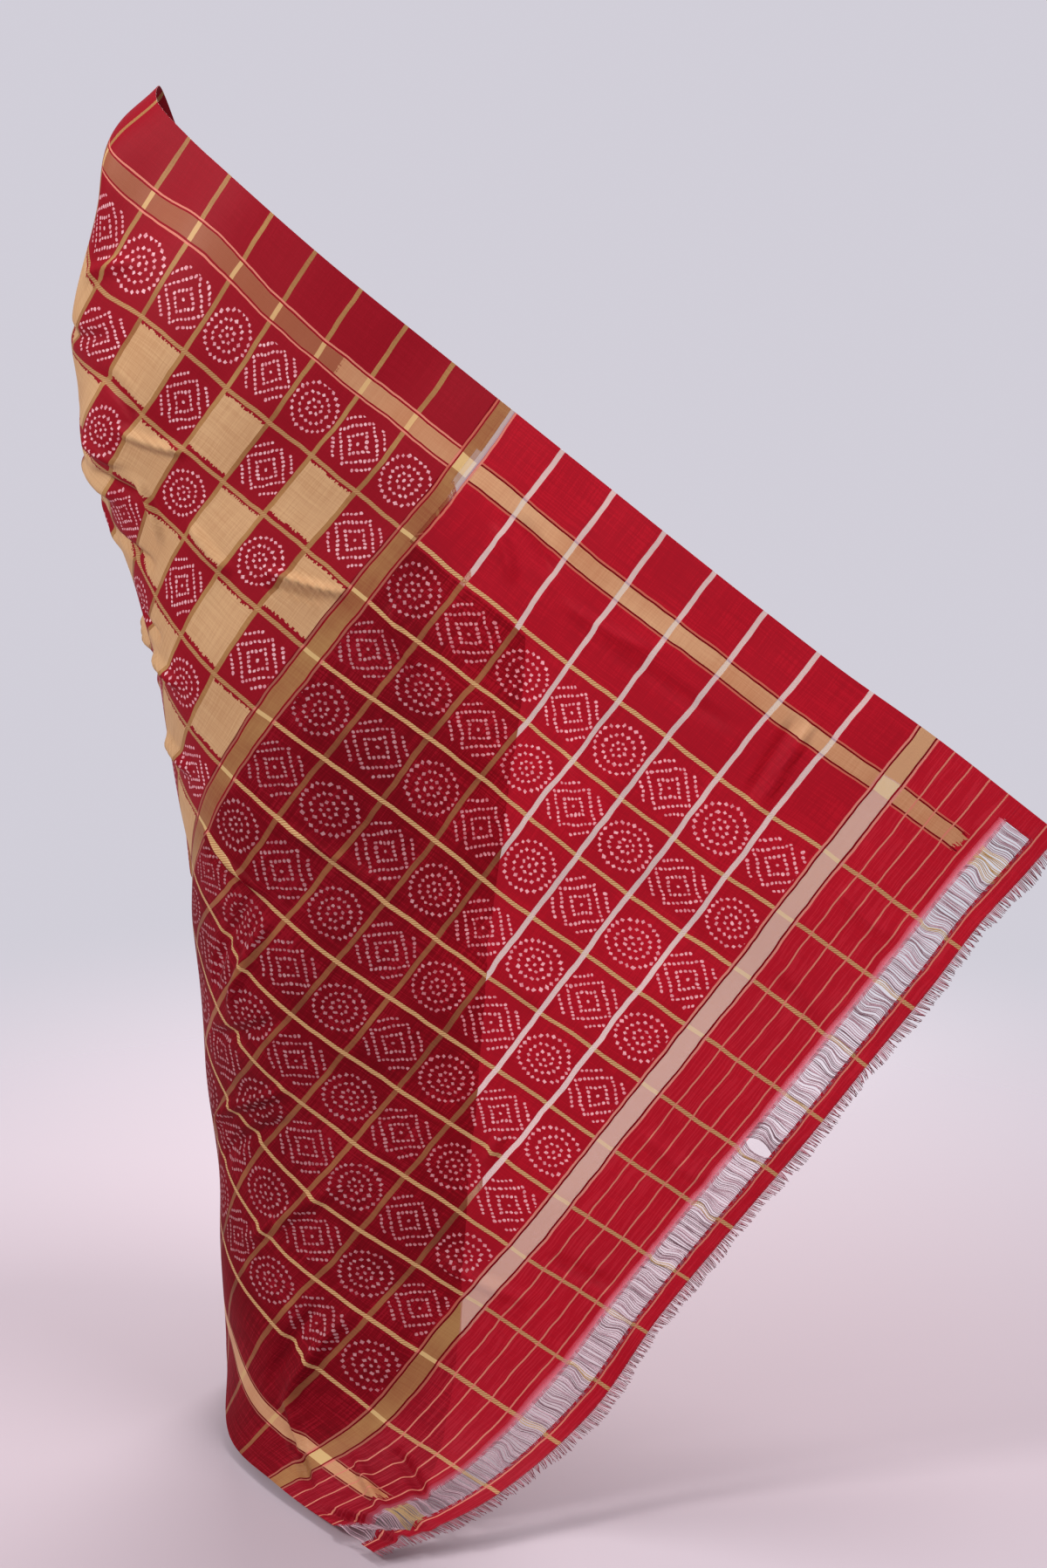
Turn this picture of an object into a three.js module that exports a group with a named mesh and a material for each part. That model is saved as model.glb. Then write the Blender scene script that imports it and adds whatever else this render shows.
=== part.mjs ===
import * as THREE from 'three';

// A silk saree as it is worn: one length of cloth wound twice round the hips, pleated in
// front, carried up over the left shoulder and arm, and left to fall open down the back.
// Sizes are millimetres measured up from the floor; the group is moved down at the end so
// that its origin is the middle of the waist, where the wearer holds the saree up.
// +Z is up, +Y is the wearer's front, -X is the wearer's left.

const waistHeight = 1070;
const wall = 1.2;
const seamGap = 0.3;
const clothWidth = 1120;
const floorClearance = 5;

// Places along the cloth, in mm from the shoulder toward the loose end
const along = {
  hipLine: -590,
  shoulderLine: 0,
  palluStart: 490,
  endBorder: 1027,
  openStart: 1119,
  openEnd: 1145,
  fringeBack: 1160,
  fringeRoot: 1163,
  fringeTip: 1175,
};

// Skirt outline by height: middle, half width (left to right), half depth (front to back)
const skirtRings = [
  { z: 1078, midX: 5, halfX: 125, halfY: 95 },
  { z: 1000, midX: 5, halfX: 143, halfY: 107 },
  { z: 880, midX: 4, halfX: 153, halfY: 114 },
  { z: 640, midX: 8, halfX: 134, halfY: 111 },
  { z: 420, midX: 17, halfX: 134, halfY: 109 },
  { z: 290, midX: 24, halfX: 137, halfY: 110 },
  { z: 130, midX: 14, halfX: 122, halfY: 109 },
  { z: 28, midX: 12, halfX: 122, halfY: 110 },
];
const skirtTop = 1078;
const skirtHem = 28;

// The skirt's winding, in degrees from the wearer's right side, turning by the front
const winding = {
  start: 58,
  pleatsRight: 438,
  pleatsLeft: 484,
  settled: 524,
  hipTop: 730,
  hipLean: 30,
  startOffset: -17,
  innerOffset: -9,
};
const pleats = {
  layers: 13,
  stepTop: 3.1,
  stepHem: 6.0,
  slipLeft: 0.35,
  fanHem: 7,
};

// How far across the cloth each station lies, as a share of its width
const stations = [
  { name: 'top', share: 0 },
  { name: 'shoulder', share: 0.05 },
  { name: 'upper', share: 0.107 },
  { name: 'elbow', share: 0.19 },
  { name: 'arm', share: 0.268 },
  { name: 'back', share: 0.385 },
  { name: 'middle', share: 0.5 },
  { name: 'thigh', share: 0.625 },
  { name: 'lower', share: 0.75 },
  { name: 'ankle', share: 0.857 },
  { name: 'hem', share: 1 },
];

// Sections across the cloth from the right hip over the left shoulder to the loose end
const sections = [
  { u: -440, top: [70, 114, 1165], shoulder: [69, 126, 1114], upper: [72, 136, 1068],
    elbow: [78, 143, 984], arm: [82, 147, 905], back: [80, 154, 785], middle: [77, 161, 655],
    thigh: [73, 171, 520], lower: [66, 181, 380], ankle: [60, 192, 262], hem: [52, 208, 105] },
  { u: -290, top: [-20, 132, 1285], shoulder: [-27, 143, 1238], upper: [-32, 152, 1188],
    elbow: [-26, 163, 1104], arm: [-18, 172, 1025], back: [-18, 181, 905], middle: [-20, 189, 780],
    thigh: [-23, 198, 640], lower: [-25, 206, 500], ankle: [-27, 214, 378], hem: [-30, 226, 215] },
  { u: -145, top: [-134, 94, 1372], shoulder: [-144, 101, 1330], upper: [-150, 110, 1285],
    elbow: [-137, 141, 1208], arm: [-124, 168, 1135], back: [-112, 189, 1020], middle: [-108, 203, 897],
    thigh: [-106, 211, 760], lower: [-102, 216, 620], ankle: [-101, 222, 501], hem: [-100, 230, 342] },
  { u: -45, top: [-166, 12, 1470], shoulder: [-206, 16, 1432], upper: [-222, 18, 1370],
    elbow: [-236, 64, 1280], arm: [-222, 118, 1188], back: [-188, 180, 1078], middle: [-160, 209, 970],
    thigh: [-148, 219, 833], lower: [-142, 224, 694], ankle: [-138, 226, 578], hem: [-132, 232, 418] },
  { u: 0, top: [-165, -20, 1455], shoulder: [-213, -22, 1412], upper: [-228, -22, 1350],
    elbow: [-253, 14, 1272], arm: [-252, 66, 1196], back: [-226, 150, 1105], middle: [-188, 198, 1010],
    thigh: [-170, 212, 874], lower: [-161, 219, 737], ankle: [-156, 221, 620], hem: [-150, 222, 462] },
  { u: 62, top: [-129, -50, 1418], shoulder: [-164, -50, 1371], upper: [-204, -44, 1310],
    elbow: [-257, -14, 1226], arm: [-264, 42, 1166], back: [-238, 122, 1074], middle: [-198, 172, 984],
    thigh: [-176, 198, 850], lower: [-163, 210, 720], ankle: [-157, 214, 602], hem: [-149, 219, 445] },
  { u: 124, top: [-86, -82, 1382], shoulder: [-114, -85, 1341], upper: [-156, -86, 1278],
    elbow: [-207, -70, 1201], arm: [-252, -28, 1127], back: [-239, 68, 1044], middle: [-204, 138, 958],
    thigh: [-182, 174, 830], lower: [-166, 194, 704], ankle: [-158, 204, 586], hem: [-148, 213, 428] },
  { u: 248, top: [0, -111, 1309], shoulder: [-32, -114, 1262], upper: [-68, -115, 1209],
    elbow: [-124, -102, 1133], arm: [-169, -82, 1069], back: [-206, -18, 972], middle: [-194, 64, 896],
    thigh: [-178, 112, 783], lower: [-163, 146, 664], ankle: [-155, 164, 548], hem: [-144, 186, 392] },
  { u: 434, top: [136, -130, 1201], shoulder: [102, -134, 1154], upper: [63, -137, 1104],
    elbow: [4, -130, 1035], arm: [-52, -130, 970], back: [-127, -102, 858], middle: [-164, -22, 758],
    thigh: [-157, 40, 626], lower: [-147, 90, 494], ankle: [-141, 108, 380], hem: [-134, 128, 226] },
  { u: 574, top: [244, -170, 1119], shoulder: [210, -170, 1073], upper: [171, -168, 1021],
    elbow: [114, -163, 948], arm: [64, -158, 882], back: [-18, -146, 779], middle: [-92, -116, 673],
    thigh: [-148, -30, 582], lower: [-151, 48, 466], ankle: [-139, 70, 348], hem: [-134, 90, 190] },
  { u: 636, top: [294, -190, 1081], shoulder: [260, -189, 1034], upper: [222, -187, 981],
    elbow: [172, -181, 907], arm: [121, -176, 846], back: [42, -160, 737], middle: [-42, -136, 628],
    thigh: [-116, -88, 528], lower: [-147, -6, 426], ankle: [-135, 22, 308], hem: [-133, 56, 150] },
  { u: 822, top: [439, -250, 972], shoulder: [407, -247, 927], upper: [370, -243, 877],
    elbow: [316, -235, 803], arm: [270, -226, 737], back: [195, -211, 630], middle: [122, -194, 524],
    thigh: [38, -165, 409], lower: [-48, -126, 295], ankle: [-107, -90, 207], hem: [-129, -32, 76] },
  { u: 915, top: [514, -280, 918], shoulder: [481, -277, 874], upper: [443, -273, 825],
    elbow: [392, -265, 750], arm: [347, -255, 684], back: [275, -241, 581], middle: [204, -224, 477],
    thigh: [121, -200, 366], lower: [37, -173, 249], ankle: [-42, -150, 154], hem: [-121, -95, 20] },
  { u: 1013, top: [592, -310, 866], shoulder: [561, -307, 822], upper: [526, -303, 772],
    elbow: [475, -295, 700], arm: [431, -286, 633], back: [359, -272, 530], middle: [288, -256, 427],
    thigh: [211, -237, 315], lower: [130, -216, 207], ankle: [52, -202, 99], hem: [-62, -190, 14] },
  { u: 1163, top: [713, -349, 776], shoulder: [682, -348, 736], upper: [645, -346, 691],
    elbow: [597, -342, 620], arm: [550, -336, 554], back: [483, -322, 455], middle: [414, -304, 356],
    thigh: [341, -288, 250], lower: [271, -276, 136], ankle: [180, -300, 62], hem: [52, -330, 12] },
];

// Soft folds: middle and half width along the cloth, height out of the cloth (minus is in),
// where across the width each begins to show and where it is full
const folds = [
  { name: 'arm fold 1', u: 58, half: 50, out: -22, from: 0.42, full: 0.8 },
  { name: 'arm fold 2', u: 116, half: 42, out: 12, from: 0.46, full: 0.8 },
  { name: 'arm fold 3', u: 176, half: 48, out: -24, from: 0.42, full: 0.8 },
  { name: 'arm fold 4', u: 236, half: 42, out: 11, from: 0.5, full: 0.85 },
  { name: 'side fold 1', u: 298, half: 48, out: -18, from: 0.56, full: 0.9 },
  { name: 'side fold 2', u: 360, half: 44, out: 8, from: 0.6, full: 0.9 },
  { name: 'side fold 3', u: 430, half: 56, out: -10, from: 0.68, full: 1.0 },
  { name: 'side fold 4', u: 560, half: 60, out: -6, from: 0.8, full: 1.0 },
];

// Swags across the chest and front, running along the cloth
const swags = [
  { share: 0.07, half: 0.035, out: 5 },
  { share: 0.17, half: 0.045, out: 7 },
  { share: 0.3, half: 0.055, out: 8 },
  { share: 0.46, half: 0.06, out: 7 },
  { share: 0.64, half: 0.07, out: 6 },
];

// The split in the open threads: middle and size along the width, share of the band opened
const threadSplit = { share: 0.416, across: 18, along: 10 };

const fringe = { strands: 104, thick: 1.2, wide: 2.6 };

const meshStep = { side: 24, chest: 37, field: 44, end: 46, acrossUpper: 38, acrossLower: 50 };

const smooth = (t) => { const s = Math.min(1, Math.max(0, t)); return s * s * (3 - 2 * s); };
const bump = (t) => (Math.abs(t) >= 1 ? 0 : 0.5 + 0.5 * Math.cos(Math.PI * t));
const mix = (a, b, t) => a + (b - a) * t;

// A smooth curve through values at uneven knots
function curveAt(knots, values, x) {
  const last = knots.length - 1;
  let i = 0;
  while (i < last - 1 && x > knots[i + 1]) i += 1;
  const slope = (k) => {
    if (k <= 0) return (values[1] - values[0]) / (knots[1] - knots[0]);
    if (k >= last) return (values[last] - values[last - 1]) / (knots[last] - knots[last - 1]);
    const h0 = knots[k] - knots[k - 1];
    const h1 = knots[k + 1] - knots[k];
    const d0 = (values[k] - values[k - 1]) / h0;
    const d1 = (values[k + 1] - values[k]) / h1;
    return (d0 * h1 + d1 * h0) / (h0 + h1);
  };
  if (x <= knots[0]) return values[0] + slope(0) * (x - knots[0]);
  if (x >= knots[last]) return values[last] + slope(last) * (x - knots[last]);
  const h = knots[i + 1] - knots[i];
  const t = (x - knots[i]) / h;
  const t2 = t * t;
  const t3 = t2 * t;
  return (2 * t3 - 3 * t2 + 1) * values[i] + (t3 - 2 * t2 + t) * h * slope(i)
    + (3 * t2 - 2 * t3) * values[i + 1] + (t3 - t2) * h * slope(i + 1);
}

const ringHeights = skirtRings.map((r) => r.z).reverse();
function ringAt(z) {
  const pick = (key) => curveAt(ringHeights, skirtRings.map((r) => r[key]).reverse(), z);
  return { midX: pick('midX'), halfX: pick('halfX'), halfY: pick('halfY') };
}

const heightAtShare = (share) => mix(skirtTop, skirtHem, share);

// A point on the skirt: turning angle, share down the cloth and distance off the outline
function skirtPoint(degrees, share, offset) {
  const ring = ringAt(heightAtShare(share));
  const angle = THREE.MathUtils.degToRad(degrees);
  return new THREE.Vector3(
    ring.midX + (ring.halfX + offset) * Math.cos(angle),
    (ring.halfY + offset) * Math.sin(angle),
    heightAtShare(share),
  );
}

const hipAngle = (share) => winding.hipTop + winding.hipLean * share;
const pleatStep = (share) => mix(pleats.stepTop, pleats.stepHem, smooth(share));

// The winding as turns and offsets, the same number of places at every height
function innerTurnPath(share) {
  const path = [];
  for (let i = 0; i <= 34; i += 1) {
    const t = i / 34;
    path.push({
      turn: mix(winding.start, winding.pleatsRight, t),
      offset: mix(winding.startOffset, winding.innerOffset, t),
    });
  }
  return path;
}

function pleatPath(share) {
  const path = [{ turn: winding.pleatsRight, offset: winding.innerOffset }];
  const step = pleatStep(share);
  const fan = pleats.fanHem * share;
  const reach = THREE.MathUtils.radToDeg(step / 2 / 122);
  for (let layer = 0; layer < pleats.layers; layer += 1) {
    const goingLeft = layer % 2 === 0;
    const base = winding.innerOffset + layer * step;
    const slip = layer * pleats.slipLeft;
    const right = layer === 0 ? winding.pleatsRight + 0.5 : winding.pleatsRight + 1.5 + slip - fan;
    const left = winding.pleatsLeft - 6 + slip + fan;
    const from = goingLeft ? right : left;
    const to = goingLeft ? left : right;
    const lastLayer = layer === pleats.layers - 1;
    for (const t of [0.1, 0.5, 0.9]) path.push({ turn: mix(from, to, t), offset: base });
    if (lastLayer) break;
    const side = goingLeft ? 1 : -1;
    path.push({ turn: to + side * reach * 0.2, offset: base });
    path.push({ turn: to + side * reach, offset: base + step * 0.3 });
    path.push({ turn: to + side * reach, offset: base + step * 0.7 });
    path.push({ turn: to + side * reach * 0.2, offset: base + step });
  }
  path.push(outerStart(share));
  return path;
}

function outerStart(share) {
  return {
    turn: winding.pleatsLeft + 2 + pleats.layers * pleats.slipLeft + pleats.fanHem * share,
    offset: winding.innerOffset + (pleats.layers - 1) * pleatStep(share),
  };
}

function outerTurnPath(share) {
  const start = outerStart(share);
  const path = [];
  for (let i = 0; i <= 30; i += 1) {
    const turn = i < 8 ? mix(start.turn, winding.settled, (i / 8) ** 1.3)
      : mix(winding.settled, hipAngle(share), (i - 8) / 22);
    const settle = smooth((turn - start.turn) / (winding.settled - start.turn));
    const before = (30 - i) * 23;
    path.push({
      turn,
      offset: mix(start.offset, 0, settle),
      pull: smooth(1 - before / 92),
      u: along.hipLine - before,
    });
  }
  return path;
}

// The stretch from the right hip to the loose end, as a surface over the cloth's own sizes
const hipRow = (back) => Object.fromEntries(stations.map(({ name, share }) => [
  name, skirtPoint(hipAngle(share) - back, share, 0).toArray()]));
const rows = [
  { u: along.hipLine - 150, ...hipRow(66) },
  { u: along.hipLine, ...hipRow(0) },
  ...sections,
];
const rowKnots = rows.map((row) => row.u);
const stationKnots = stations.map((s) => s.share);

function basePoint(u, share) {
  const axes = [0, 1, 2].map((axis) => {
    const across = stations.map(({ name }) => curveAt(rowKnots, rows.map((r) => r[name][axis]), u));
    return curveAt(stationKnots, across, share);
  });
  return new THREE.Vector3(...axes);
}

function normalAt(pointAt, u, share) {
  const du = pointAt(u + 2, share).sub(pointAt(u - 2, share));
  const dv = pointAt(u, share + 0.002).sub(pointAt(u, share - 0.002));
  return du.cross(dv).normalize();
}

function foldHeight(u, share) {
  let out = 0;
  for (const fold of folds) {
    out += fold.out * bump((u - fold.u) / fold.half)
      * smooth((share - fold.from) / (fold.full - fold.from));
  }
  const chest = smooth((u - along.hipLine) / 120) * smooth((-20 - u) / 120);
  for (const swag of swags) out += swag.out * chest * bump((share - swag.share) / swag.half);
  return out;
}

function drapePoint(u, share) {
  const point = basePoint(u, share);
  const out = foldHeight(u, share);
  if (out !== 0) point.addScaledVector(normalAt(basePoint, u, share), out);
  point.z = Math.max(point.z, floorClearance);
  return point;
}

// A closed wall over a grid of middle points; cells marked open are holes through it
function wallFromGrid(grid, normals, isOpen = () => false) {
  const nu = grid.length;
  const nv = grid[0].length;
  const positions = [];
  for (const side of [1, -1]) {
    for (let i = 0; i < nu; i += 1) {
      for (let j = 0; j < nv; j += 1) {
        const p = grid[i][j].clone().addScaledVector(normals[i][j], side * wall / 2);
        positions.push(p.x, p.y, p.z);
      }
    }
  }
  const at = (side, i, j) => side * nu * nv + i * nv + j;
  const closed = (i, j) => i >= 0 && j >= 0 && i < nu - 1 && j < nv - 1 && !isOpen(i, j);
  const faces = [];
  const quad = (a, b, c, d) => faces.push(a, b, c, a, c, d);
  for (let i = 0; i < nu - 1; i += 1) {
    for (let j = 0; j < nv - 1; j += 1) {
      if (!closed(i, j)) continue;
      quad(at(0, i, j), at(0, i + 1, j), at(0, i + 1, j + 1), at(0, i, j + 1));
      quad(at(1, i, j), at(1, i, j + 1), at(1, i + 1, j + 1), at(1, i + 1, j));
      if (!closed(i - 1, j)) quad(at(0, i, j), at(0, i, j + 1), at(1, i, j + 1), at(1, i, j));
      if (!closed(i + 1, j)) {
        quad(at(0, i + 1, j), at(1, i + 1, j), at(1, i + 1, j + 1), at(0, i + 1, j + 1));
      }
      if (!closed(i, j - 1)) quad(at(0, i, j), at(1, i, j), at(1, i + 1, j), at(0, i + 1, j));
      if (!closed(i, j + 1)) {
        quad(at(0, i, j + 1), at(0, i + 1, j + 1), at(1, i + 1, j + 1), at(1, i, j + 1));
      }
    }
  }
  return compact(positions, faces);
}

// Keep only the corners that faces use
function compact(positions, faces) {
  const kept = new Map();
  const points = [];
  const index = faces.map((corner) => {
    if (!kept.has(corner)) {
      kept.set(corner, points.length / 3);
      points.push(...positions.slice(corner * 3, corner * 3 + 3));
    }
    return kept.get(corner);
  });
  const geometry = new THREE.BufferGeometry();
  geometry.setAttribute('position', new THREE.Float32BufferAttribute(points, 3));
  geometry.setIndex(index);
  return geometry;
}

function spread(from, to, step, extra = []) {
  const count = Math.max(1, Math.round((to - from) / step));
  const values = [];
  for (let i = 0; i <= count; i += 1) values.push(mix(from, to, i / count));
  const plain = values.filter((v) => extra.every((e) => Math.abs(v - e) > step * 0.3
    || v === from || v === to));
  return [...plain, ...extra].sort((a, b) => a - b);
}

// Half a seam gap, as a step along the cloth that is true in space at this place
function seamStep(u, share) {
  const speed = drapePoint(u + 1, share).distanceTo(drapePoint(u - 1, share)) / 2;
  return seamGap / 2 / Math.max(0.04, speed);
}

const drapeShares = [
  ...spread(0, 0.5, meshStep.acrossUpper / clothWidth),
  ...spread(0.5, 1, meshStep.acrossLower / clothWidth).slice(1),
];

function drapeSheet(uFrom, uTo, uStep, extraU = [], extraShares = [], isOpen) {
  const us = spread(uFrom, uTo, uStep, extraU);
  const shares = [...drapeShares, ...extraShares].sort((a, b) => a - b);
  const place = (u, share) => {
    if (u === uFrom) return u + seamStep(u, share);
    return u === uTo ? u - seamStep(u, share) : u;
  };
  const grid = us.map((u) => shares.map((share) => drapePoint(place(u, share), share)));
  const normals = us.map((u) => shares.map((share) => normalAt(drapePoint, u, share)));
  const open = isOpen ? (i, j) => isOpen(us[i], us[i + 1], shares[j], shares[j + 1]) : undefined;
  return wallFromGrid(grid, normals, open);
}

// A wall that follows a winding path at each height
function skirtSheet(pathAt, shares) {
  const columns = shares.map((share) => {
    const line = pathAt(share).map(({ turn, offset, pull, u }) => {
      const point = skirtPoint(turn, share, offset);
      return pull ? point.lerp(basePoint(u, share), pull) : point;
    });
    const last = line.length - 1;
    const inset = (end, next) => end.addScaledVector(next.clone().sub(end).normalize(), seamGap / 2);
    inset(line[0], line[1]);
    inset(line[last], line[last - 1]);
    return line;
  });
  const count = columns[0].length;
  const grid = [];
  const normals = [];
  for (let i = 0; i < count; i += 1) {
    grid.push(columns.map((line) => line[i]));
    normals.push(columns.map((line, j) => {
      const a = line[Math.max(0, i - 1)];
      const b = line[Math.min(count - 1, i + 1)];
      const up = columns[Math.max(0, j - 1)][i].clone()
        .sub(columns[Math.min(columns.length - 1, j + 1)][i]);
      return b.clone().sub(a).normalize().cross(up.normalize()).normalize();
    }));
  }
  return wallFromGrid(grid, normals.map((row) => row.map((n) => n.negate())));
}

// Strands grow out of the rim of a narrow strip, one every other step along it
function fringeOnStrip() {
  const steps = fringe.strands * 2 + 1;
  const edge = clothWidth / fringe.strands;
  const shares = [0];
  for (let k = 0; k < fringe.strands; k += 1) {
    const mid = (k + 0.5) * edge;
    shares.push((mid - fringe.wide / 2) / clothWidth, (mid + fringe.wide / 2) / clothWidth);
  }
  shares.push(1);
  const us = [along.fringeBack, along.fringeRoot];
  const positions = [];
  const faces = [];
  const put = (p) => { positions.push(p.x, p.y, p.z); return positions.length / 3 - 1; };
  const corner = us.map((u) => shares.map((share) => {
    const p = drapePoint(u === along.fringeBack ? u + seamStep(u, share) : u, share);
    const n = normalAt(drapePoint, u, share);
    return [1, -1].map((side) => put(p.clone().addScaledVector(n, side * wall / 2)));
  }));
  const quad = (a, b, c, d) => faces.push(a, b, c, a, c, d);
  for (let j = 0; j < steps; j += 1) {
    const [a, b] = [corner[0][j], corner[0][j + 1]];
    const [c, d] = [corner[1][j], corner[1][j + 1]];
    quad(a[0], c[0], d[0], b[0]);
    quad(a[1], b[1], d[1], c[1]);
    quad(a[0], b[0], b[1], a[1]);
    if (j % 2 === 0) {
      quad(c[0], c[1], d[1], d[0]);
      continue;
    }
    const k = (j - 1) / 2;
    const lean = 1.6 * Math.sin(k * 2.4) / clothWidth;
    const reach = along.fringeRoot + (along.fringeTip - along.fringeRoot) * (0.8 + 0.2 * Math.cos(k * 1.7));
    const mid = (shares[j] + shares[j + 1]) / 2 + lean;
    const half = fringe.wide * 0.3 / clothWidth;
    const tip = [mid - half, mid + half].map((share) => {
      const p = drapePoint(reach, share);
      p.z = Math.max(p.z + 1, floorClearance);
      const n = normalAt(drapePoint, reach, share);
      return [1, -1].map((side) => put(p.clone().addScaledVector(n, side * fringe.thick / 3)));
    });
    const [e, f] = tip;
    quad(c[0], e[0], f[0], d[0]);
    quad(c[1], d[1], f[1], e[1]);
    quad(c[0], c[1], e[1], e[0]);
    quad(d[0], f[0], f[1], d[1]);
    quad(e[0], e[1], f[1], f[0]);
  }
  quad(corner[0][0][0], corner[0][0][1], corner[1][0][1], corner[1][0][0]);
  quad(corner[0][steps][0], corner[1][steps][0], corner[1][steps][1], corner[0][steps][1]);
  return compact(positions, faces);
}

const silk = {
  body: { color: 0x9c1420, roughness: 0.55 },
  end: { color: 0xb31a2c, roughness: 0.55 },
  thread: { color: 0xc9a8b0, roughness: 0.7 },
};

const group = new THREE.Group();
group.name = 'silk_saree';
function add(name, geometry, look) {
  geometry.translate(0, 0, -waistHeight);
  geometry.computeVertexNormals();
  const mesh = new THREE.Mesh(geometry, new THREE.MeshStandardMaterial(look));
  mesh.name = name;
  group.add(mesh);
}

const skirtShares = [0, 0.1, 0.22, 0.4, 0.6, 0.8, 1];
add('inner_turn', skirtSheet(innerTurnPath, skirtShares), silk.body);
add('front_pleats', skirtSheet(pleatPath, skirtShares), silk.body);
add('outer_turn', skirtSheet(outerTurnPath, skirtShares), silk.body);
add('torso_drape', drapeSheet(along.hipLine, along.shoulderLine, meshStep.chest), silk.body);
add('side_drape', drapeSheet(along.shoulderLine, along.palluStart, meshStep.side), silk.body);
add('pallu_field', drapeSheet(along.palluStart, along.endBorder, meshStep.field), silk.body);
add('pallu_end', drapeSheet(along.endBorder, along.openStart, meshStep.end), silk.end);

const splitHalf = threadSplit.across / 2 / clothWidth;
const splitShares = [threadSplit.share - splitHalf, threadSplit.share + splitHalf];
const bandMid = (along.openStart + along.openEnd) / 2;
const splitUs = [bandMid - threadSplit.along / 2, bandMid + threadSplit.along / 2];
add('open_thread_band', drapeSheet(along.openStart, along.openEnd, 26,
  splitUs, splitShares, (u0, u1, s0, s1) => u0 > splitUs[0] - 0.01 && u1 < splitUs[1] + 0.01
    && s0 > splitShares[0] - 1e-6 && s1 < splitShares[1] + 1e-6), silk.thread);
add('end_strip', drapeSheet(along.openEnd, along.fringeBack, 20), silk.end);
add('end_fringe', fringeOnStrip(), silk.thread);

export default group;
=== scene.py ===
import math
import bpy
import numpy as np
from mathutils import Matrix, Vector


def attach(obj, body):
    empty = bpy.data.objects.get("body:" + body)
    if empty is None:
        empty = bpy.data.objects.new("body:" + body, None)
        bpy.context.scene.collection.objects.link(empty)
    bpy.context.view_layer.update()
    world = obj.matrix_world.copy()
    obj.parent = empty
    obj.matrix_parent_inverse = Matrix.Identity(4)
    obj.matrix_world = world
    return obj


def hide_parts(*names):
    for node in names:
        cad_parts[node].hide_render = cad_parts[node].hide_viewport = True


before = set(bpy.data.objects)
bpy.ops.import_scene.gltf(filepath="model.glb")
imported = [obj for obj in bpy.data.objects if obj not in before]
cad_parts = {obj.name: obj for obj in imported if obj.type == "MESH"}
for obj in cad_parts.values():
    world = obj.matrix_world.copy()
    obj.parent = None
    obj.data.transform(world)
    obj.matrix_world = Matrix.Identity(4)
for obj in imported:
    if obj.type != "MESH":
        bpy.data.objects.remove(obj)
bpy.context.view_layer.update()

# A silk saree seen from behind. Cloth places are u, along the cloth in mm from the shoulder
# to the loose end, and v, across it from the upper selvedge. Points are worked out in mm
# above the floor and put in the frame, in metres, by toFrame.
scene = bpy.context.scene
scene.view_settings.view_transform = "Standard"
scene.cycles.max_bounces = 5
scene.cycles.diffuse_bounces = 2
waistHeight = 1070
clothWidth = 1120
shellThick = 0.6
floorGap = 5  # the lowest the cloth's middle comes to the floor
edgeWide = 24  # the woven edge at the top of the open band


def toFrame(points):
    return (np.asarray(points, float) - [0, 0, waistHeight]) / 1000


# camera, light and floor
camera = {"place": (205, -2745, 1400), "lookDown": 13.5, "lens": 60}
studio = {
    "sky": (0.64, 0.62, 0.69), "skyAsLamp": 0.78,
    "floorColour": (0.45, 0.37, 0.405), "floorSolid": 0.5, "floorGone": 2.1,
}
lamps = [
    {"name": "softLeft", "place": (-2.3, -1.9, 1.9), "size": 0.55, "power": 80},
    {"name": "softTop", "place": (0.6, -0.6, 2.6), "size": 0.9, "power": 46},
    {"name": "softBehind", "place": (0.4, 2.6, 0.7), "size": 2.2, "power": 108},
]


def makeCamera():
    data = bpy.data.cameras.new("camera")
    data.lens, data.sensor_width = camera["lens"], 36
    view = bpy.data.objects.new("camera", data)
    scene.collection.objects.link(view)
    view.location = toFrame(camera["place"])
    view.rotation_euler = (math.radians(90 - camera["lookDown"]), 0, 0)
    scene.camera = view


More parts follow.
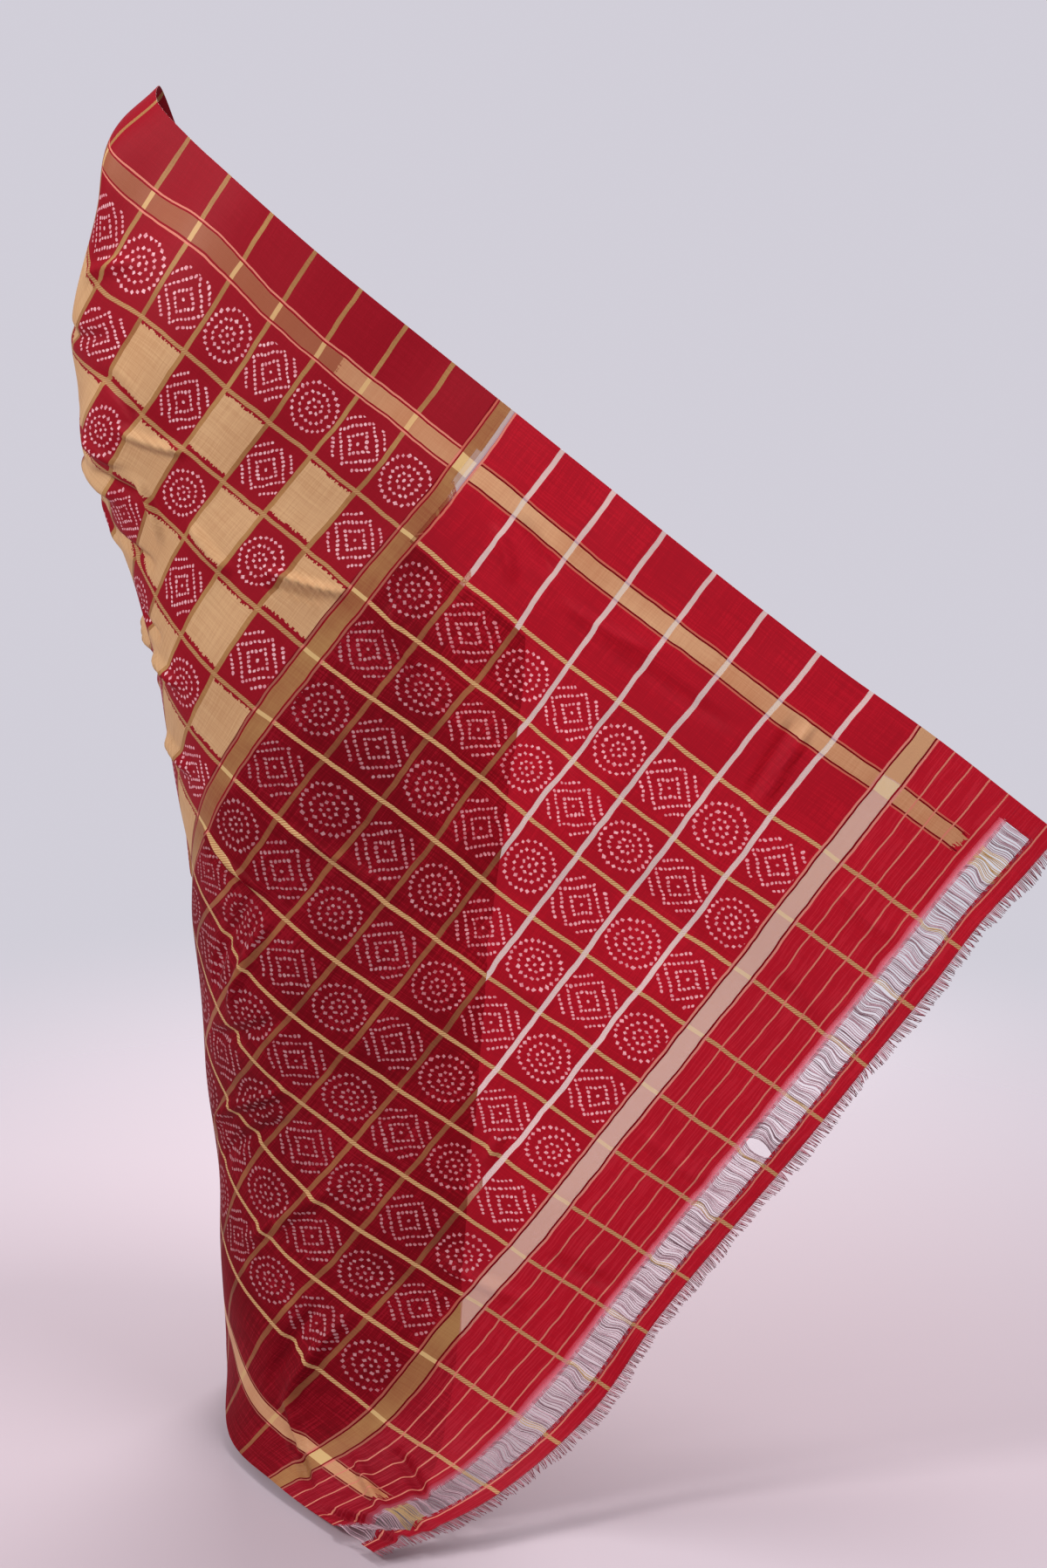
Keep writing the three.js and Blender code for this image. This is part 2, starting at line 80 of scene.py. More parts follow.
def makeStudio():
    world = bpy.data.worlds.new("studio")
    scene.world = world
    world.use_nodes = True
    sky = world.node_tree.nodes["Background"]
    sky.inputs["Color"].default_value = (*studio["sky"], 1)
    seen = world.node_tree.nodes.new("ShaderNodeLightPath")
    level = world.node_tree.nodes.new("ShaderNodeMapRange")
    level.inputs["To Min"].default_value = studio["skyAsLamp"]
    world.node_tree.links.new(seen.outputs["Is Camera Ray"], level.inputs["Value"])
    world.node_tree.links.new(level.outputs["Result"], sky.inputs["Strength"])
    for lamp in lamps:
        light = bpy.data.lights.new(lamp["name"], "AREA")
        light.shape, light.size, light.energy = "DISK", lamp["size"], lamp["power"]
        holder = bpy.data.objects.new(lamp["name"], light)
        scene.collection.objects.link(holder)
        holder.location = lamp["place"]
        aim = np.array([0.1, 0, -0.4]) - np.array(lamp["place"])
        holder.rotation_euler = Vector(aim).to_track_quat("-Z", "Y").to_euler()
    bpy.ops.mesh.primitive_circle_add(vertices=96, radius=5, fill_type="NGON",
                                      location=(0.1, 0, -waistHeight / 1000))
    floor = bpy.context.object
    floor.name = "floor"
    paper = bpy.data.materials.new("studioPaper")
    paper.use_nodes = True
    tree = paper.node_tree
    shader = tree.nodes["Principled BSDF"]
    shader.inputs["Base Color"].default_value = (*studio["floorColour"], 1)
    shader.inputs["Roughness"].default_value = 0.9
    clear = tree.nodes.new("ShaderNodeBsdfTransparent")
    blend = tree.nodes.new("ShaderNodeMixShader")
    place = tree.nodes.new("ShaderNodeTexCoord")
    length = tree.nodes.new("ShaderNodeVectorMath")
    length.operation = "LENGTH"
    fade = tree.nodes.new("ShaderNodeMapRange")
    fade.interpolation_type = "SMOOTHSTEP"
    fade.inputs["From Min"].default_value = studio["floorSolid"]
    fade.inputs["From Max"].default_value = studio["floorGone"]
    tree.links.new(place.outputs["Object"], length.inputs[0])
    tree.links.new(length.outputs["Value"], fade.inputs["Value"])
    tree.links.new(fade.outputs["Result"], blend.inputs["Fac"])
    tree.links.new(shader.outputs[0], blend.inputs[1])
    tree.links.new(clear.outputs[0], blend.inputs[2])
    tree.links.new(blend.outputs[0], tree.nodes["Material Output"].inputs["Surface"])
    floor.data.materials.append(paper)


makeCamera()
makeStudio()
print("camera and studio ready")

# the woven pattern, charted in mm of cloth
weave = {
    "cellAlong": 62, "cellAcross": 80, "firstLine": 160, "lastLine": 960,
    "fieldShift": 16, "bodyEnd": 504, "fieldEnd": 1013,
    "lineAlong": 2.25, "lineAcross": 2.6, "dotPitch": 3.2, "dotSize": 1.95,
    "stripe": (70, 1050), "stripeFades": 1094, "stripeBrightens": 336,
    "bandHalf": 9, "darkOut": 10.8, "bandRim": 13, "stripeRim": 12.6, "farBandFrom": 760,
    "bandTop": 60, "crossingOpen": (50, 92), "patternRows": (2, 11), "motifRows": (92, 1028),
    "rings": ((7.5, 8, 2.1), (16, 16, 2.2), (25.5, 25, 2.3)), "diamondSteps": (4, 8, 12),
    "endLines": (1043, 1063, 1084, 1104, 1149.5), "thinHalf": 0.8, "frayed": (1111, 1121),
    "freeFrom": (678, 220), "freeSlope": 1.81, "freeLeast": 165,
}
# thread dyes, together with colours for painted backlight where the pallu hangs free
dyesAndPaintedLight = {
    "red": (178, 16, 38), "redDeep": (142, 8, 26), "redBright": (208, 38, 62),
    "panelPale": (212, 72, 90), "weftBacklitDull": (176, 112, 80), "weftBacklitPale": (222, 166, 142),
    "bandPaintedBacklight": (206, 150, 122), "copper": (186, 122, 84), "stripePale": (216, 166, 124),
    "lineDark": (122, 62, 40), "lineBrown": (168, 102, 64), "stripeDull": (142, 72, 50),
    "tan": (212, 170, 124), "tanDeep": (196, 150, 106), "goldPale": (214, 178, 120),
    "gold": (176, 130, 80), "olive": (140, 90, 52),
    "dot": (242, 190, 194), "dotFaint": (216, 134, 144), "thinLine": (210, 124, 104),
    "frayed": (226, 124, 146), "brownGold": (146, 82, 52), "twillDark": (172, 104, 70),
}


def mixed(colour):
    channels = [c / 255 for c in colour]
    return (*[c / 12.92 if c < 0.04 else ((c + 0.055) / 1.055) ** 2.4 for c in channels], 1)


def paint(name):
    return mixed(dyesAndPaintedLight[name])


class Chart:

    def __init__(self, tree):
        self.tree = tree

    def sum(self, operation, *values):
        node = self.tree.nodes.new("ShaderNodeMath")
        node.operation = operation
        for socket, value in zip(node.inputs, values):
            if isinstance(value, (int, float)):
                socket.default_value = value
            else:
                self.tree.links.new(value, socket)
        return node.outputs[0]

    def plus(self, a, b): return self.sum("ADD", a, b)
    def minus(self, a, b): return self.sum("SUBTRACT", a, b)
    def times(self, a, b): return self.sum("MULTIPLY", a, b)
    def over(self, a, b): return self.sum("DIVIDE", a, b)
    def size(self, a): return self.sum("ABSOLUTE", a)
    def whole(self, a): return self.sum("FLOOR", a)
    def below(self, a, b): return self.sum("LESS_THAN", a, b)
    def above(self, a, b): return self.sum("GREATER_THAN", a, b)
    def both(self, a, b): return self.sum("MULTIPLY", a, b)
    def either(self, a, b): return self.sum("MAXIMUM", a, b)
    def unless(self, a): return self.sum("SUBTRACT", 1, a)
    def between(self, a, low, high): return self.both(self.above(a, low), self.below(a, high))
    def near(self, a, middle, half): return self.below(self.size(self.minus(a, middle)), half)

    def odd(self, a):
        return self.above(self.sum("FLOORED_MODULO", a, 2), 0.5)

    def pair(self, a, b):
        node = self.tree.nodes.new("ShaderNodeCombineXYZ")
        for socket, value in zip(node.inputs, (a, b)):
            if isinstance(value, (int, float)):
                socket.default_value = value
            else:
                self.tree.links.new(value, socket)
        return node.outputs[0]

    def cloud(self, place, scale, detail=2.0):
        node = self.tree.nodes.new("ShaderNodeTexNoise")
        node.inputs["Scale"].default_value = scale
        node.inputs["Detail"].default_value = detail
        self.tree.links.new(place, node.inputs["Vector"])
        return node.outputs["Fac"]

    def speckle(self, place):
        node = self.tree.nodes.new("ShaderNodeTexWhiteNoise")
        self.tree.links.new(place, node.inputs["Vector"])
        return node.outputs["Value"]

    def blendColour(self, mask, under, over):
        node = self.tree.nodes.new("ShaderNodeMix")
        node.data_type = "RGBA"
        sockets = [s for s in node.inputs if s.type == "RGBA"]
        factor = [s for s in node.inputs if s.name == "Factor"][0]
        for socket, value in ((factor, mask), (sockets[0], under), (sockets[1], over)):
            if isinstance(value, (int, float, tuple)):
                socket.default_value = value
            else:
                self.tree.links.new(value, socket)
        return [s for s in node.outputs if s.type == "RGBA"][0]


def weavePattern():
    group = bpy.data.node_groups.new("sareeWeave", "ShaderNodeTree")
    for name, kind in (("Colour", "Color"), ("Metal", "Float"), ("Open", "Float"),
                       ("Height", "Float")):
        group.interface.new_socket(name, in_out="OUTPUT", socket_type=f"NodeSocket{kind}")
    chart = Chart(group)
    ends = group.nodes.new("NodeGroupOutput")
    cloth = group.nodes.new("ShaderNodeUVMap")
    cloth.uv_map = "clothPlace"
    apart = group.nodes.new("ShaderNodeSeparateXYZ")
    group.links.new(cloth.outputs[0], apart.inputs[0])
    plainU, plainV = (chart.times(apart.outputs[i], 1000) for i in (0, 1))
    waver = chart.cloud(cloth.outputs[0], 22)
    waverToo = chart.cloud(chart.pair(plainV, plainU), 0.021)
    u = chart.plus(plainU, chart.times(chart.minus(waver, 0.5), 5))
    v = chart.plus(plainV, chart.times(chart.minus(waverToo, 0.5), 5))

    inPallu = chart.above(u, weave["bodyEnd"])
    inPanel = chart.above(u, weave["fieldEnd"])
    inBody = chart.unless(inPallu)
    shifted = chart.minus(u, chart.times(inPallu, weave["fieldShift"]))
    along, across = weave["cellAlong"], weave["cellAcross"]
    column = chart.whole(chart.over(shifted, along))
    row = chart.whole(chart.over(v, across))
    drift = chart.times(chart.minus(chart.cloud(cloth.outputs[0], 70, 1), 0.5), 5)
    driftToo = chart.times(chart.minus(chart.cloud(chart.pair(plainV, plainU), 0.08, 1), 0.5), 5)
    du = chart.minus(shifted, chart.times(chart.plus(column, 0.5), along))
    dv = chart.minus(v, chart.times(chart.plus(row, 0.5), across))
    tiedU, tiedV = chart.plus(du, drift), chart.plus(dv, driftToo)
    sizeU, sizeV = chart.size(du), chart.size(dv)
    edgeU, edgeV = chart.minus(along / 2, sizeU), chart.minus(across / 2, sizeV)

    # warp lines run along the cloth, weft lines and bands run across it
    checked = chart.between(v, weave["firstLine"] - 4, weave["lastLine"] + 4)
    warpLine = chart.both(checked, chart.below(edgeV, weave["lineAlong"]))
    weftLine = chart.both(chart.below(edgeU, weave["lineAcross"]),
                          chart.below(u, weave["fieldEnd"] - 11))
    offBand = chart.sum("MINIMUM", chart.size(chart.minus(u, weave["bodyEnd"])),
                        chart.size(chart.minus(u, weave["fieldEnd"])))
    offStripe = chart.sum("MINIMUM", chart.size(chart.minus(v, weave["stripe"][0])),
                          chart.size(chart.minus(v, weave["stripe"][1])))
    stripeSeen = chart.below(u, chart.plus(weave["stripeFades"],
                                           chart.times(chart.speckle(chart.pair(chart.whole(v), 0)), 9)))
    offStripe = chart.plus(offStripe, chart.times(chart.unless(stripeSeen), 60))
    half, dark = weave["bandHalf"], weave["darkOut"]
    band, stripe = chart.below(offBand, half), chart.below(offStripe, half)
    bandDark, stripeDark = (chart.between(off, half, dark) for off in (offBand, offStripe))
    bandEdge = chart.between(offBand, dark, weave["bandRim"])
    stripeEdge = chart.between(offStripe, dark, weave["stripeRim"])
    endLine = 0
    for place in weave["endLines"]:
        endLine = chart.either(endLine, chart.near(u, place, weave["thinHalf"]))

    # plain tan cells of the body, with ragged ends where the threads were tied
    firstTied, lastTied = weave["patternRows"]
    sideRow = chart.either(chart.below(row, firstTied), chart.above(row, lastTied))
    flips = chart.odd(chart.plus(row, column))
    tied = chart.speckle(chart.pair(chart.whole(chart.over(u, 1.5)), row))
    tanEnds = chart.above(chart.minus(edgeV, chart.times(tied, 3.2)), chart.plus(
        3.4, chart.times(chart.above(dv, 0), 2.4)))
    tan = chart.both(chart.both(inBody, chart.unless(flips)), chart.both(
        chart.unless(sideRow), tanEnds))
    tan = chart.both(tan, chart.unless(chart.between(offBand, 0, 14)))

    # dotted motifs: stepped diamonds and rings of dots
    pitch, dotSize = weave["dotPitch"], weave["dotSize"]
    stepU, stepV = (chart.sum("ROUND", chart.over(d, pitch)) for d in (tiedU, tiedV))
    offU = chart.minus(tiedU, chart.times(stepU, pitch))
    offV = chart.minus(tiedV, chart.times(stepV, pitch))
    spot = chart.plus(chart.size(offU), chart.size(offV))
    latticeDot = chart.below(spot, chart.plus(dotSize, chart.times(chart.speckle(
        chart.pair(chart.plus(stepU, chart.times(column, 41)),
                   chart.plus(stepV, chart.times(row, 37)))), 0.5)))
    reach = chart.plus(chart.size(stepU), chart.size(stepV))
    skew = chart.size(chart.minus(chart.size(stepU), chart.size(stepV)))
    inner, outer, corner = (chart.near(reach, step, 0.4) for step in weave["diamondSteps"])
    ringed = chart.either(chart.either(inner, outer), chart.both(corner, chart.below(skew, 4.5)))
    ringed = chart.either(ringed, chart.below(reach, 0.4))
    diamond = chart.both(ringed, latticeDot)
    radius = chart.sum("SQRT", chart.plus(chart.times(tiedU, tiedU), chart.times(tiedV, tiedV)))
    angle = chart.over(chart.sum("ARCTAN2", tiedV, tiedU), 2 * math.pi)
    circle = chart.below(radius, 1.7)
    for ring, dots, spread in weave["rings"]:
        turn = chart.times(angle, dots)
        aside = chart.times(chart.minus(turn, chart.sum("ROUND", turn)),
                            2 * math.pi * ring / dots)
        dot = chart.below(chart.plus(chart.size(aside), chart.size(
            chart.minus(radius, ring))), spread)
        circle = chart.either(circle, dot)
    circleCell = chart.unless(flips)
    bodyCircle = chart.odd(row)
    firstRow = chart.below(row, 1.5)
    usesBody = chart.both(inBody, chart.unless(firstRow))
    isCircle = chart.plus(chart.both(usesBody, bodyCircle),
                          chart.both(chart.unless(usesBody), circleCell))
    motif = chart.plus(chart.both(isCircle, circle), chart.both(chart.unless(isCircle), diamond))
    dotTone = chart.speckle(chart.pair(chart.whole(chart.over(u, 3.4)),
                                       chart.whole(chart.over(v, 3.4))))
    redCell = chart.both(inBody, chart.either(flips, sideRow))
    fieldCell = chart.both(inPallu, chart.unless(sideRow))
    cell = chart.both(chart.either(redCell, fieldCell), chart.unless(inPanel))
    inRows = chart.between(v, *weave["motifRows"])
    motif = chart.both(chart.both(motif, cell), inRows)
    motif = chart.both(motif, chart.both(chart.above(offBand, 15), chart.above(edgeU, 4)))
    motif = chart.both(motif, chart.unless(chart.both(firstRow, chart.below(v, 94))))

    # above this edge the pallu stands clear of the skirt, and its thin lines let light through. Where it
    # hangs free, its red, weft lines and far band are painted paler as painted backlight.
    startU, startV = weave["freeFrom"]
    freeWithPaintedBacklight = chart.below(v, chart.either(weave["freeLeast"], chart.plus(startV, chart.times(
        chart.minus(u, startU), weave["freeSlope"]))))

    # colours laid over one another in the order they lie in the cloth: dyes and metal threads, with
    # painted backlight on the free pallu and painted glints on the metal
    clouds = chart.cloud(cloth.outputs[0], 9, 3)
    slubs = chart.cloud(chart.pair(chart.over(u, 60), chart.over(v, 1.6)), 1, 2)
    slubsToo = chart.cloud(chart.pair(chart.over(u, 1.4), chart.over(v, 50)), 1, 2)
    streak = chart.times(chart.minus(chart.plus(slubs, slubsToo), 1), 1.9)
    tone = chart.sum("ADD", chart.plus(chart.times(chart.minus(clouds, 0.5), 1.5), 0.5), streak)
    tone = chart.sum("MINIMUM", chart.sum("MAXIMUM", tone, 0), 1)
    twill = chart.above(chart.sum("FRACT", chart.over(chart.plus(u, v), 3.1)), 0.34)
    # random lighter and darker patches on the metal threads: partly their uneven tone, partly painted
    # glints
    glint = chart.plus(0.5, chart.plus(chart.times(chart.minus(clouds, 0.5), 2.4),
                                       chart.times(streak, 0.3)))
    metalToneAndGlint = chart.sum("MINIMUM", chart.sum("MAXIMUM", glint, 0), 1)
    red = chart.blendColour(tone, paint("redDeep"), paint("red"))
    red = chart.blendColour(chart.times(chart.above(tone, 0.72), 0.3), red, paint("redBright"))
    red = chart.blendColour(chart.times(inBody, 0.85), red, paint("redDeep"))
    # painted backlight: the pallu's red is painted brighter where it hangs free of the skirt
    red = chart.blendColour(chart.times(chart.both(inPallu, freeWithPaintedBacklight), 0.55), red, paint("redBright"))
    red = chart.blendColour(chart.times(inPanel, 0.4), red, paint("redBright"))
    red = chart.blendColour(chart.times(chart.both(inPanel, chart.above(slubsToo, 0.54)), 0.24), red,
                    paint("panelPale"))
    colour = chart.blendColour(chart.times(tan, 0.96), red, chart.blendColour(tone, paint("tanDeep"), paint("tan")))
    colour = chart.blendColour(chart.times(motif, 0.94), colour, chart.blendColour(
        dotTone, paint("dotFaint"), paint("dot")))
    # weft lines: olive gold in the body; in the pallu a darker brown where the skirt lies behind them,
    # and a paler pinker copy, painted backlight, where it hangs free
    weftGold = chart.blendColour(inPallu, chart.blendColour(metalToneAndGlint, paint("olive"), paint("gold")), chart.blendColour(
        freeWithPaintedBacklight, chart.blendColour(metalToneAndGlint, paint("lineDark"), paint("lineBrown")),
        chart.blendColour(metalToneAndGlint, paint("weftBacklitDull"), paint("weftBacklitPale"))))
    colour = chart.blendColour(weftLine, colour, weftGold)
    warpGold = chart.blendColour(twill, paint("twillDark"), paint("goldPale"))
    warpGold = chart.blendColour(chart.times(inBody, 0.55), warpGold, paint("olive"))
    warpGold = chart.blendColour(chart.times(inPanel, 0.25), warpGold, paint("brownGold"))
    colour = chart.blendColour(chart.times(warpLine, 0.92), colour, warpGold)
    stripeGold = chart.blendColour(metalToneAndGlint, paint("copper"), paint("stripePale"))
    dullStripe = chart.below(chart.plus(u, chart.times(streak, 8)), weave["stripeBrightens"])
    stripeGold = chart.blendColour(chart.times(inBody, 0.4), stripeGold, paint("brownGold"))
    stripeGold = chart.blendColour(chart.times(dullStripe, 0.84), stripeGold, paint("stripeDull"))
    colour = chart.blendColour(stripe, colour, stripeGold)
    crossing = chart.both(stripe, weftLine)
    colour = chart.blendColour(chart.times(crossing, 0.7), colour, paint("goldPale"))
    colour = chart.blendColour(stripeDark, colour, paint("redDeep"))
    colour = chart.blendColour(stripeEdge, colour, paint("thinLine"))
    bandGold = chart.blendColour(metalToneAndGlint, paint("brownGold"), paint("gold"))
    farBand = chart.above(u, weave["farBandFrom"])
    # painted backlight: the far band is painted pink where it hangs free of the skirt
    paintedBacklightBand = chart.both(farBand, chart.both(freeWithPaintedBacklight, chart.above(v, weave["bandTop"])))
    bandTop = chart.both(farBand, chart.below(v, weave["bandTop"]))
    bandGold = chart.blendColour(chart.times(bandTop, 0.75), bandGold, paint("stripePale"))
    bandGold = chart.blendColour(chart.times(paintedBacklightBand, 0.85), bandGold, paint("bandPaintedBacklight"))
    colour = chart.blendColour(band, colour, bandGold)
    colour = chart.blendColour(bandDark, colour, paint("redDeep"))
    colour = chart.blendColour(bandEdge, colour, paint("thinLine"))
    colour = chart.blendColour(chart.both(band, chart.either(stripe, warpLine)), colour, paint("goldPale"))
    colour = chart.blendColour(endLine, colour, paint("thinLine"))
    fraysFrom, fraysTo = weave["frayed"]
    frayed = chart.both(chart.between(u, fraysFrom, fraysTo), chart.above(v, edgeWide))
    frayed = chart.times(frayed, chart.over(chart.minus(u, fraysFrom - 2), fraysTo - fraysFrom + 2))
    colour = chart.blendColour(frayed, colour, paint("frayed"))

    metal = chart.either(chart.either(weftLine, warpLine), chart.either(
        chart.either(band, stripe), endLine))
    nearCrossing = chart.both(chart.unless(farBand), chart.between(v, *weave["crossingOpen"]))
    freeBand = chart.both(band, chart.either(paintedBacklightBand, nearCrossing))
    sheer = chart.either(chart.times(weftLine, 0.68), chart.times(freeBand, 0.46))
    sheer = chart.either(sheer, chart.times(chart.either(bandEdge, motif), 0.28))
    sheer = chart.both(sheer, chart.both(inPallu, freeWithPaintedBacklight))
    sheer = chart.either(sheer, chart.times(frayed, 0.7))
    knit = chart.plus(chart.sum("SINE", chart.times(u, 2 * math.pi / 1.1)),
                      chart.sum("SINE", chart.times(v, 2 * math.pi / 1.1)))
    height = chart.plus(chart.times(knit, 0.12), chart.plus(
        chart.times(streak, 0.35), chart.times(metal, 0.35)))
    for name, value in (("Colour", colour), ("Metal", metal), ("Open", sheer),
                        ("Height", height)):
        group.links.new(value, ends.inputs[name])
    return group


pattern = weavePattern()
finishes = {
    "bodySilk": {"glow": 0.12, "open": 0.0, "roughness": 0.55, "sheen": 0.02},
    "palluSilk": {"glow": 0.56, "open": 1.0, "roughness": 0.5, "sheen": 0.06},
}


def newMaterial(name):
    material = bpy.data.materials.new(name)
    material.use_nodes = True
    return material, material.node_tree


def addBump(tree, height, strength, distance):
    bump = tree.nodes.new("ShaderNodeBump")
    bump.inputs["Strength"].default_value = strength
    bump.inputs["Distance"].default_value = distance
    tree.links.new(height, bump.inputs["Height"])
    tree.links.new(bump.outputs[0], tree.nodes["Principled BSDF"].inputs["Normal"])


def addGlow(tree, colour):
    through = tree.nodes.new("ShaderNodeBsdfTranslucent")
    tree.links.new(colour, through.inputs["Color"])
    glow = tree.nodes.new("ShaderNodeMixShader")
    tree.links.new(tree.nodes["Principled BSDF"].outputs[0], glow.inputs[1])
    tree.links.new(through.outputs[0], glow.inputs[2])
    return glow


def silkFinish(name):
    look = finishes[name]
    material, tree = newMaterial(name)
    chart = Chart(tree)
    woven = tree.nodes.new("ShaderNodeGroup")
    woven.node_tree = pattern
    shader = tree.nodes["Principled BSDF"]
    shader.inputs["Sheen Weight"].default_value = look["sheen"]
    shader.inputs["Sheen Roughness"].default_value = 0.4
    shader.inputs["Sheen Tint"].default_value = (1, 0.4, 0.42, 1)
    shader.inputs["Specular IOR Level"].default_value = 0.11
    tree.links.new(woven.outputs["Colour"], shader.inputs["Base Color"])
    shine = chart.minus(look["roughness"], chart.times(woven.outputs["Metal"], 0.1))
    tree.links.new(shine, shader.inputs["Roughness"])
    addBump(tree, woven.outputs["Height"], 0.35, 0.0004)
    last = glow = addGlow(tree, woven.outputs["Colour"])
    dense = chart.minus(1, chart.times(woven.outputs["Metal"], 0.75))
    tree.links.new(chart.times(dense, look["glow"]), glow.inputs["Fac"])
    if look["open"]:
        clear = tree.nodes.new("ShaderNodeBsdfTransparent")
        last = tree.nodes.new("ShaderNodeMixShader")
        tree.links.new(woven.outputs["Open"], last.inputs["Fac"])
        tree.links.new(glow.outputs[0], last.inputs[1])
        tree.links.new(clear.outputs[0], last.inputs[2])
    tree.links.new(last.outputs[0], tree.nodes["Material Output"].inputs["Surface"])
    return material


bodySilk, palluSilk = silkFinish("bodySilk"), silkFinish("palluSilk")
print("silk finishes ready")

# the cloth's form
# Skirt outline by height: middle, half width and half depth
skirtRings = [
    {"z": 28, "midX": 12, "halfX": 122, "halfY": 110},
    {"z": 130, "midX": 14, "halfX": 122, "halfY": 109},
    {"z": 290, "midX": 24, "halfX": 137, "halfY": 110},
    {"z": 420, "midX": 17, "halfX": 134, "halfY": 109},
    {"z": 640, "midX": 8, "halfX": 134, "halfY": 111},
    {"z": 880, "midX": 4, "halfX": 153, "halfY": 114},
    {"z": 1000, "midX": 5, "halfX": 143, "halfY": 107},
    {"z": 1078, "midX": 5, "halfX": 125, "halfY": 95},
]
skirt = {"top": 1078, "hem": 28, "hipLine": -590}
winding = {
    "start": 58, "pleatsRight": 438, "pleatsLeft": 484, "settled": 524, "hipTop": 730,
    "hipLean": 30, "startOffset": -17, "innerOffset": -9, "steps": 30, "settleSteps": 8,
    "stepLength": 23, "joinLength": 92, "hangs": 2.2,
}
pleats = {"layers": 13, "stepTop": 3.1, "stepHem": 6.0, "slipLeft": 0.35, "fanHem": 7}
places = {"palluStart": 490, "endBorder": 1027, "openStart": 1119, "openEnd": 1145,
          "fringeRoot": 1163, "fringeTip": 1175, "shoulder": 0}

# How far across the cloth each station lies, and the sections that cross them
stationShares = [0, 0.05, 0.107, 0.19, 0.268, 0.385, 0.5, 0.625, 0.75, 0.857, 1]
sections = [
    {"u": -440, "at": [(70, 114, 1165), (69, 126, 1114), (72, 136, 1068), (78, 143, 984),
                       (82, 147, 905), (80, 154, 785), (77, 161, 655), (73, 171, 520),
                       (66, 181, 380), (60, 192, 262), (52, 208, 105)]},
    {"u": -290, "at": [(-20, 132, 1285), (-27, 143, 1238), (-32, 152, 1188), (-26, 163, 1104),
                       (-18, 172, 1025), (-18, 181, 905), (-20, 189, 780), (-23, 198, 640),
                       (-25, 206, 500), (-27, 214, 378), (-30, 226, 215)]},
    {"u": -145, "at": [(-134, 94, 1372), (-144, 101, 1330), (-150, 110, 1285), (-137, 141, 1208),
                       (-124, 168, 1135), (-112, 189, 1020), (-108, 203, 897), (-106, 211, 760),
                       (-102, 216, 620), (-101, 222, 501), (-100, 230, 342)]},
    {"u": -45, "at": [(-166, 12, 1470), (-206, 16, 1432), (-222, 18, 1370), (-236, 64, 1280),
                      (-222, 118, 1188), (-188, 180, 1078), (-160, 209, 970), (-148, 219, 833),
                      (-142, 224, 694), (-138, 226, 578), (-132, 232, 418)]},
    {"u": 0, "at": [(-165, -20, 1455), (-213, -22, 1412), (-228, -22, 1350), (-253, 14, 1272),
                    (-252, 66, 1196), (-226, 150, 1105), (-188, 198, 1010), (-170, 212, 874),
                    (-161, 219, 737), (-156, 221, 620), (-150, 222, 462)]},
    {"u": 62, "at": [(-129, -50, 1418), (-164, -50, 1371), (-204, -44, 1310), (-257, -14, 1226),
                     (-264, 42, 1166), (-238, 122, 1074), (-198, 172, 984), (-176, 198, 850),
                     (-163, 210, 720), (-157, 214, 602), (-149, 219, 445)]},
    {"u": 124, "at": [(-86, -82, 1382), (-114, -85, 1341), (-156, -86, 1278), (-207, -70, 1201),
                      (-252, -28, 1127), (-239, 68, 1044), (-204, 138, 958), (-182, 174, 830),
                      (-166, 194, 704), (-158, 204, 586), (-148, 213, 428)]},
    {"u": 248, "at": [(0, -111, 1309), (-32, -114, 1262), (-68, -115, 1209), (-124, -102, 1133),
                      (-169, -82, 1069), (-206, -18, 972), (-194, 64, 896), (-178, 112, 783),
                      (-163, 146, 664), (-155, 164, 548), (-144, 186, 392)]},
    {"u": 434, "at": [(136, -130, 1201), (102, -134, 1154), (63, -137, 1104), (4, -130, 1035),
                      (-52, -130, 970), (-127, -102, 858), (-164, -22, 758), (-157, 40, 626),
                      (-147, 90, 494), (-141, 108, 380), (-134, 128, 226)]},
    {"u": 574, "at": [(244, -170, 1119), (210, -170, 1073), (171, -168, 1021), (114, -163, 948),
                      (64, -158, 882), (-18, -146, 779), (-92, -116, 673), (-148, -30, 582),
                      (-151, 48, 466), (-139, 70, 348), (-134, 90, 190)]},
    {"u": 636, "at": [(294, -190, 1081), (260, -189, 1034), (222, -187, 981), (172, -181, 907),
                      (121, -176, 846), (42, -160, 737), (-42, -136, 628), (-116, -88, 528),
                      (-147, -6, 426), (-135, 22, 308), (-133, 56, 150)]},
    {"u": 822, "at": [(439, -250, 972), (407, -247, 927), (370, -243, 877), (316, -235, 803),
                      (270, -226, 737), (195, -211, 630), (122, -194, 524), (38, -165, 409),
                      (-48, -126, 295), (-107, -90, 207), (-129, -32, 76)]},
    {"u": 915, "at": [(514, -280, 918), (481, -277, 874), (443, -273, 825), (392, -265, 750),
                      (347, -255, 684), (275, -241, 581), (204, -224, 477), (121, -200, 366),
                      (37, -173, 249), (-42, -150, 154), (-121, -95, 20)]},
    {"u": 1013, "at": [(592, -310, 866), (561, -307, 822), (526, -303, 772), (475, -295, 700),
                       (431, -286, 633), (359, -272, 530), (288, -256, 427), (211, -237, 315),
                       (130, -216, 207), (52, -202, 99), (-62, -190, 14)]},
    {"u": 1163, "at": [(713, -349, 776), (682, -348, 736), (645, -346, 691), (597, -342, 620),
                       (550, -336, 554), (483, -322, 455), (414, -304, 356), (341, -288, 250),
                       (271, -276, 136), (180, -300, 62), (52, -330, 12)]},
]
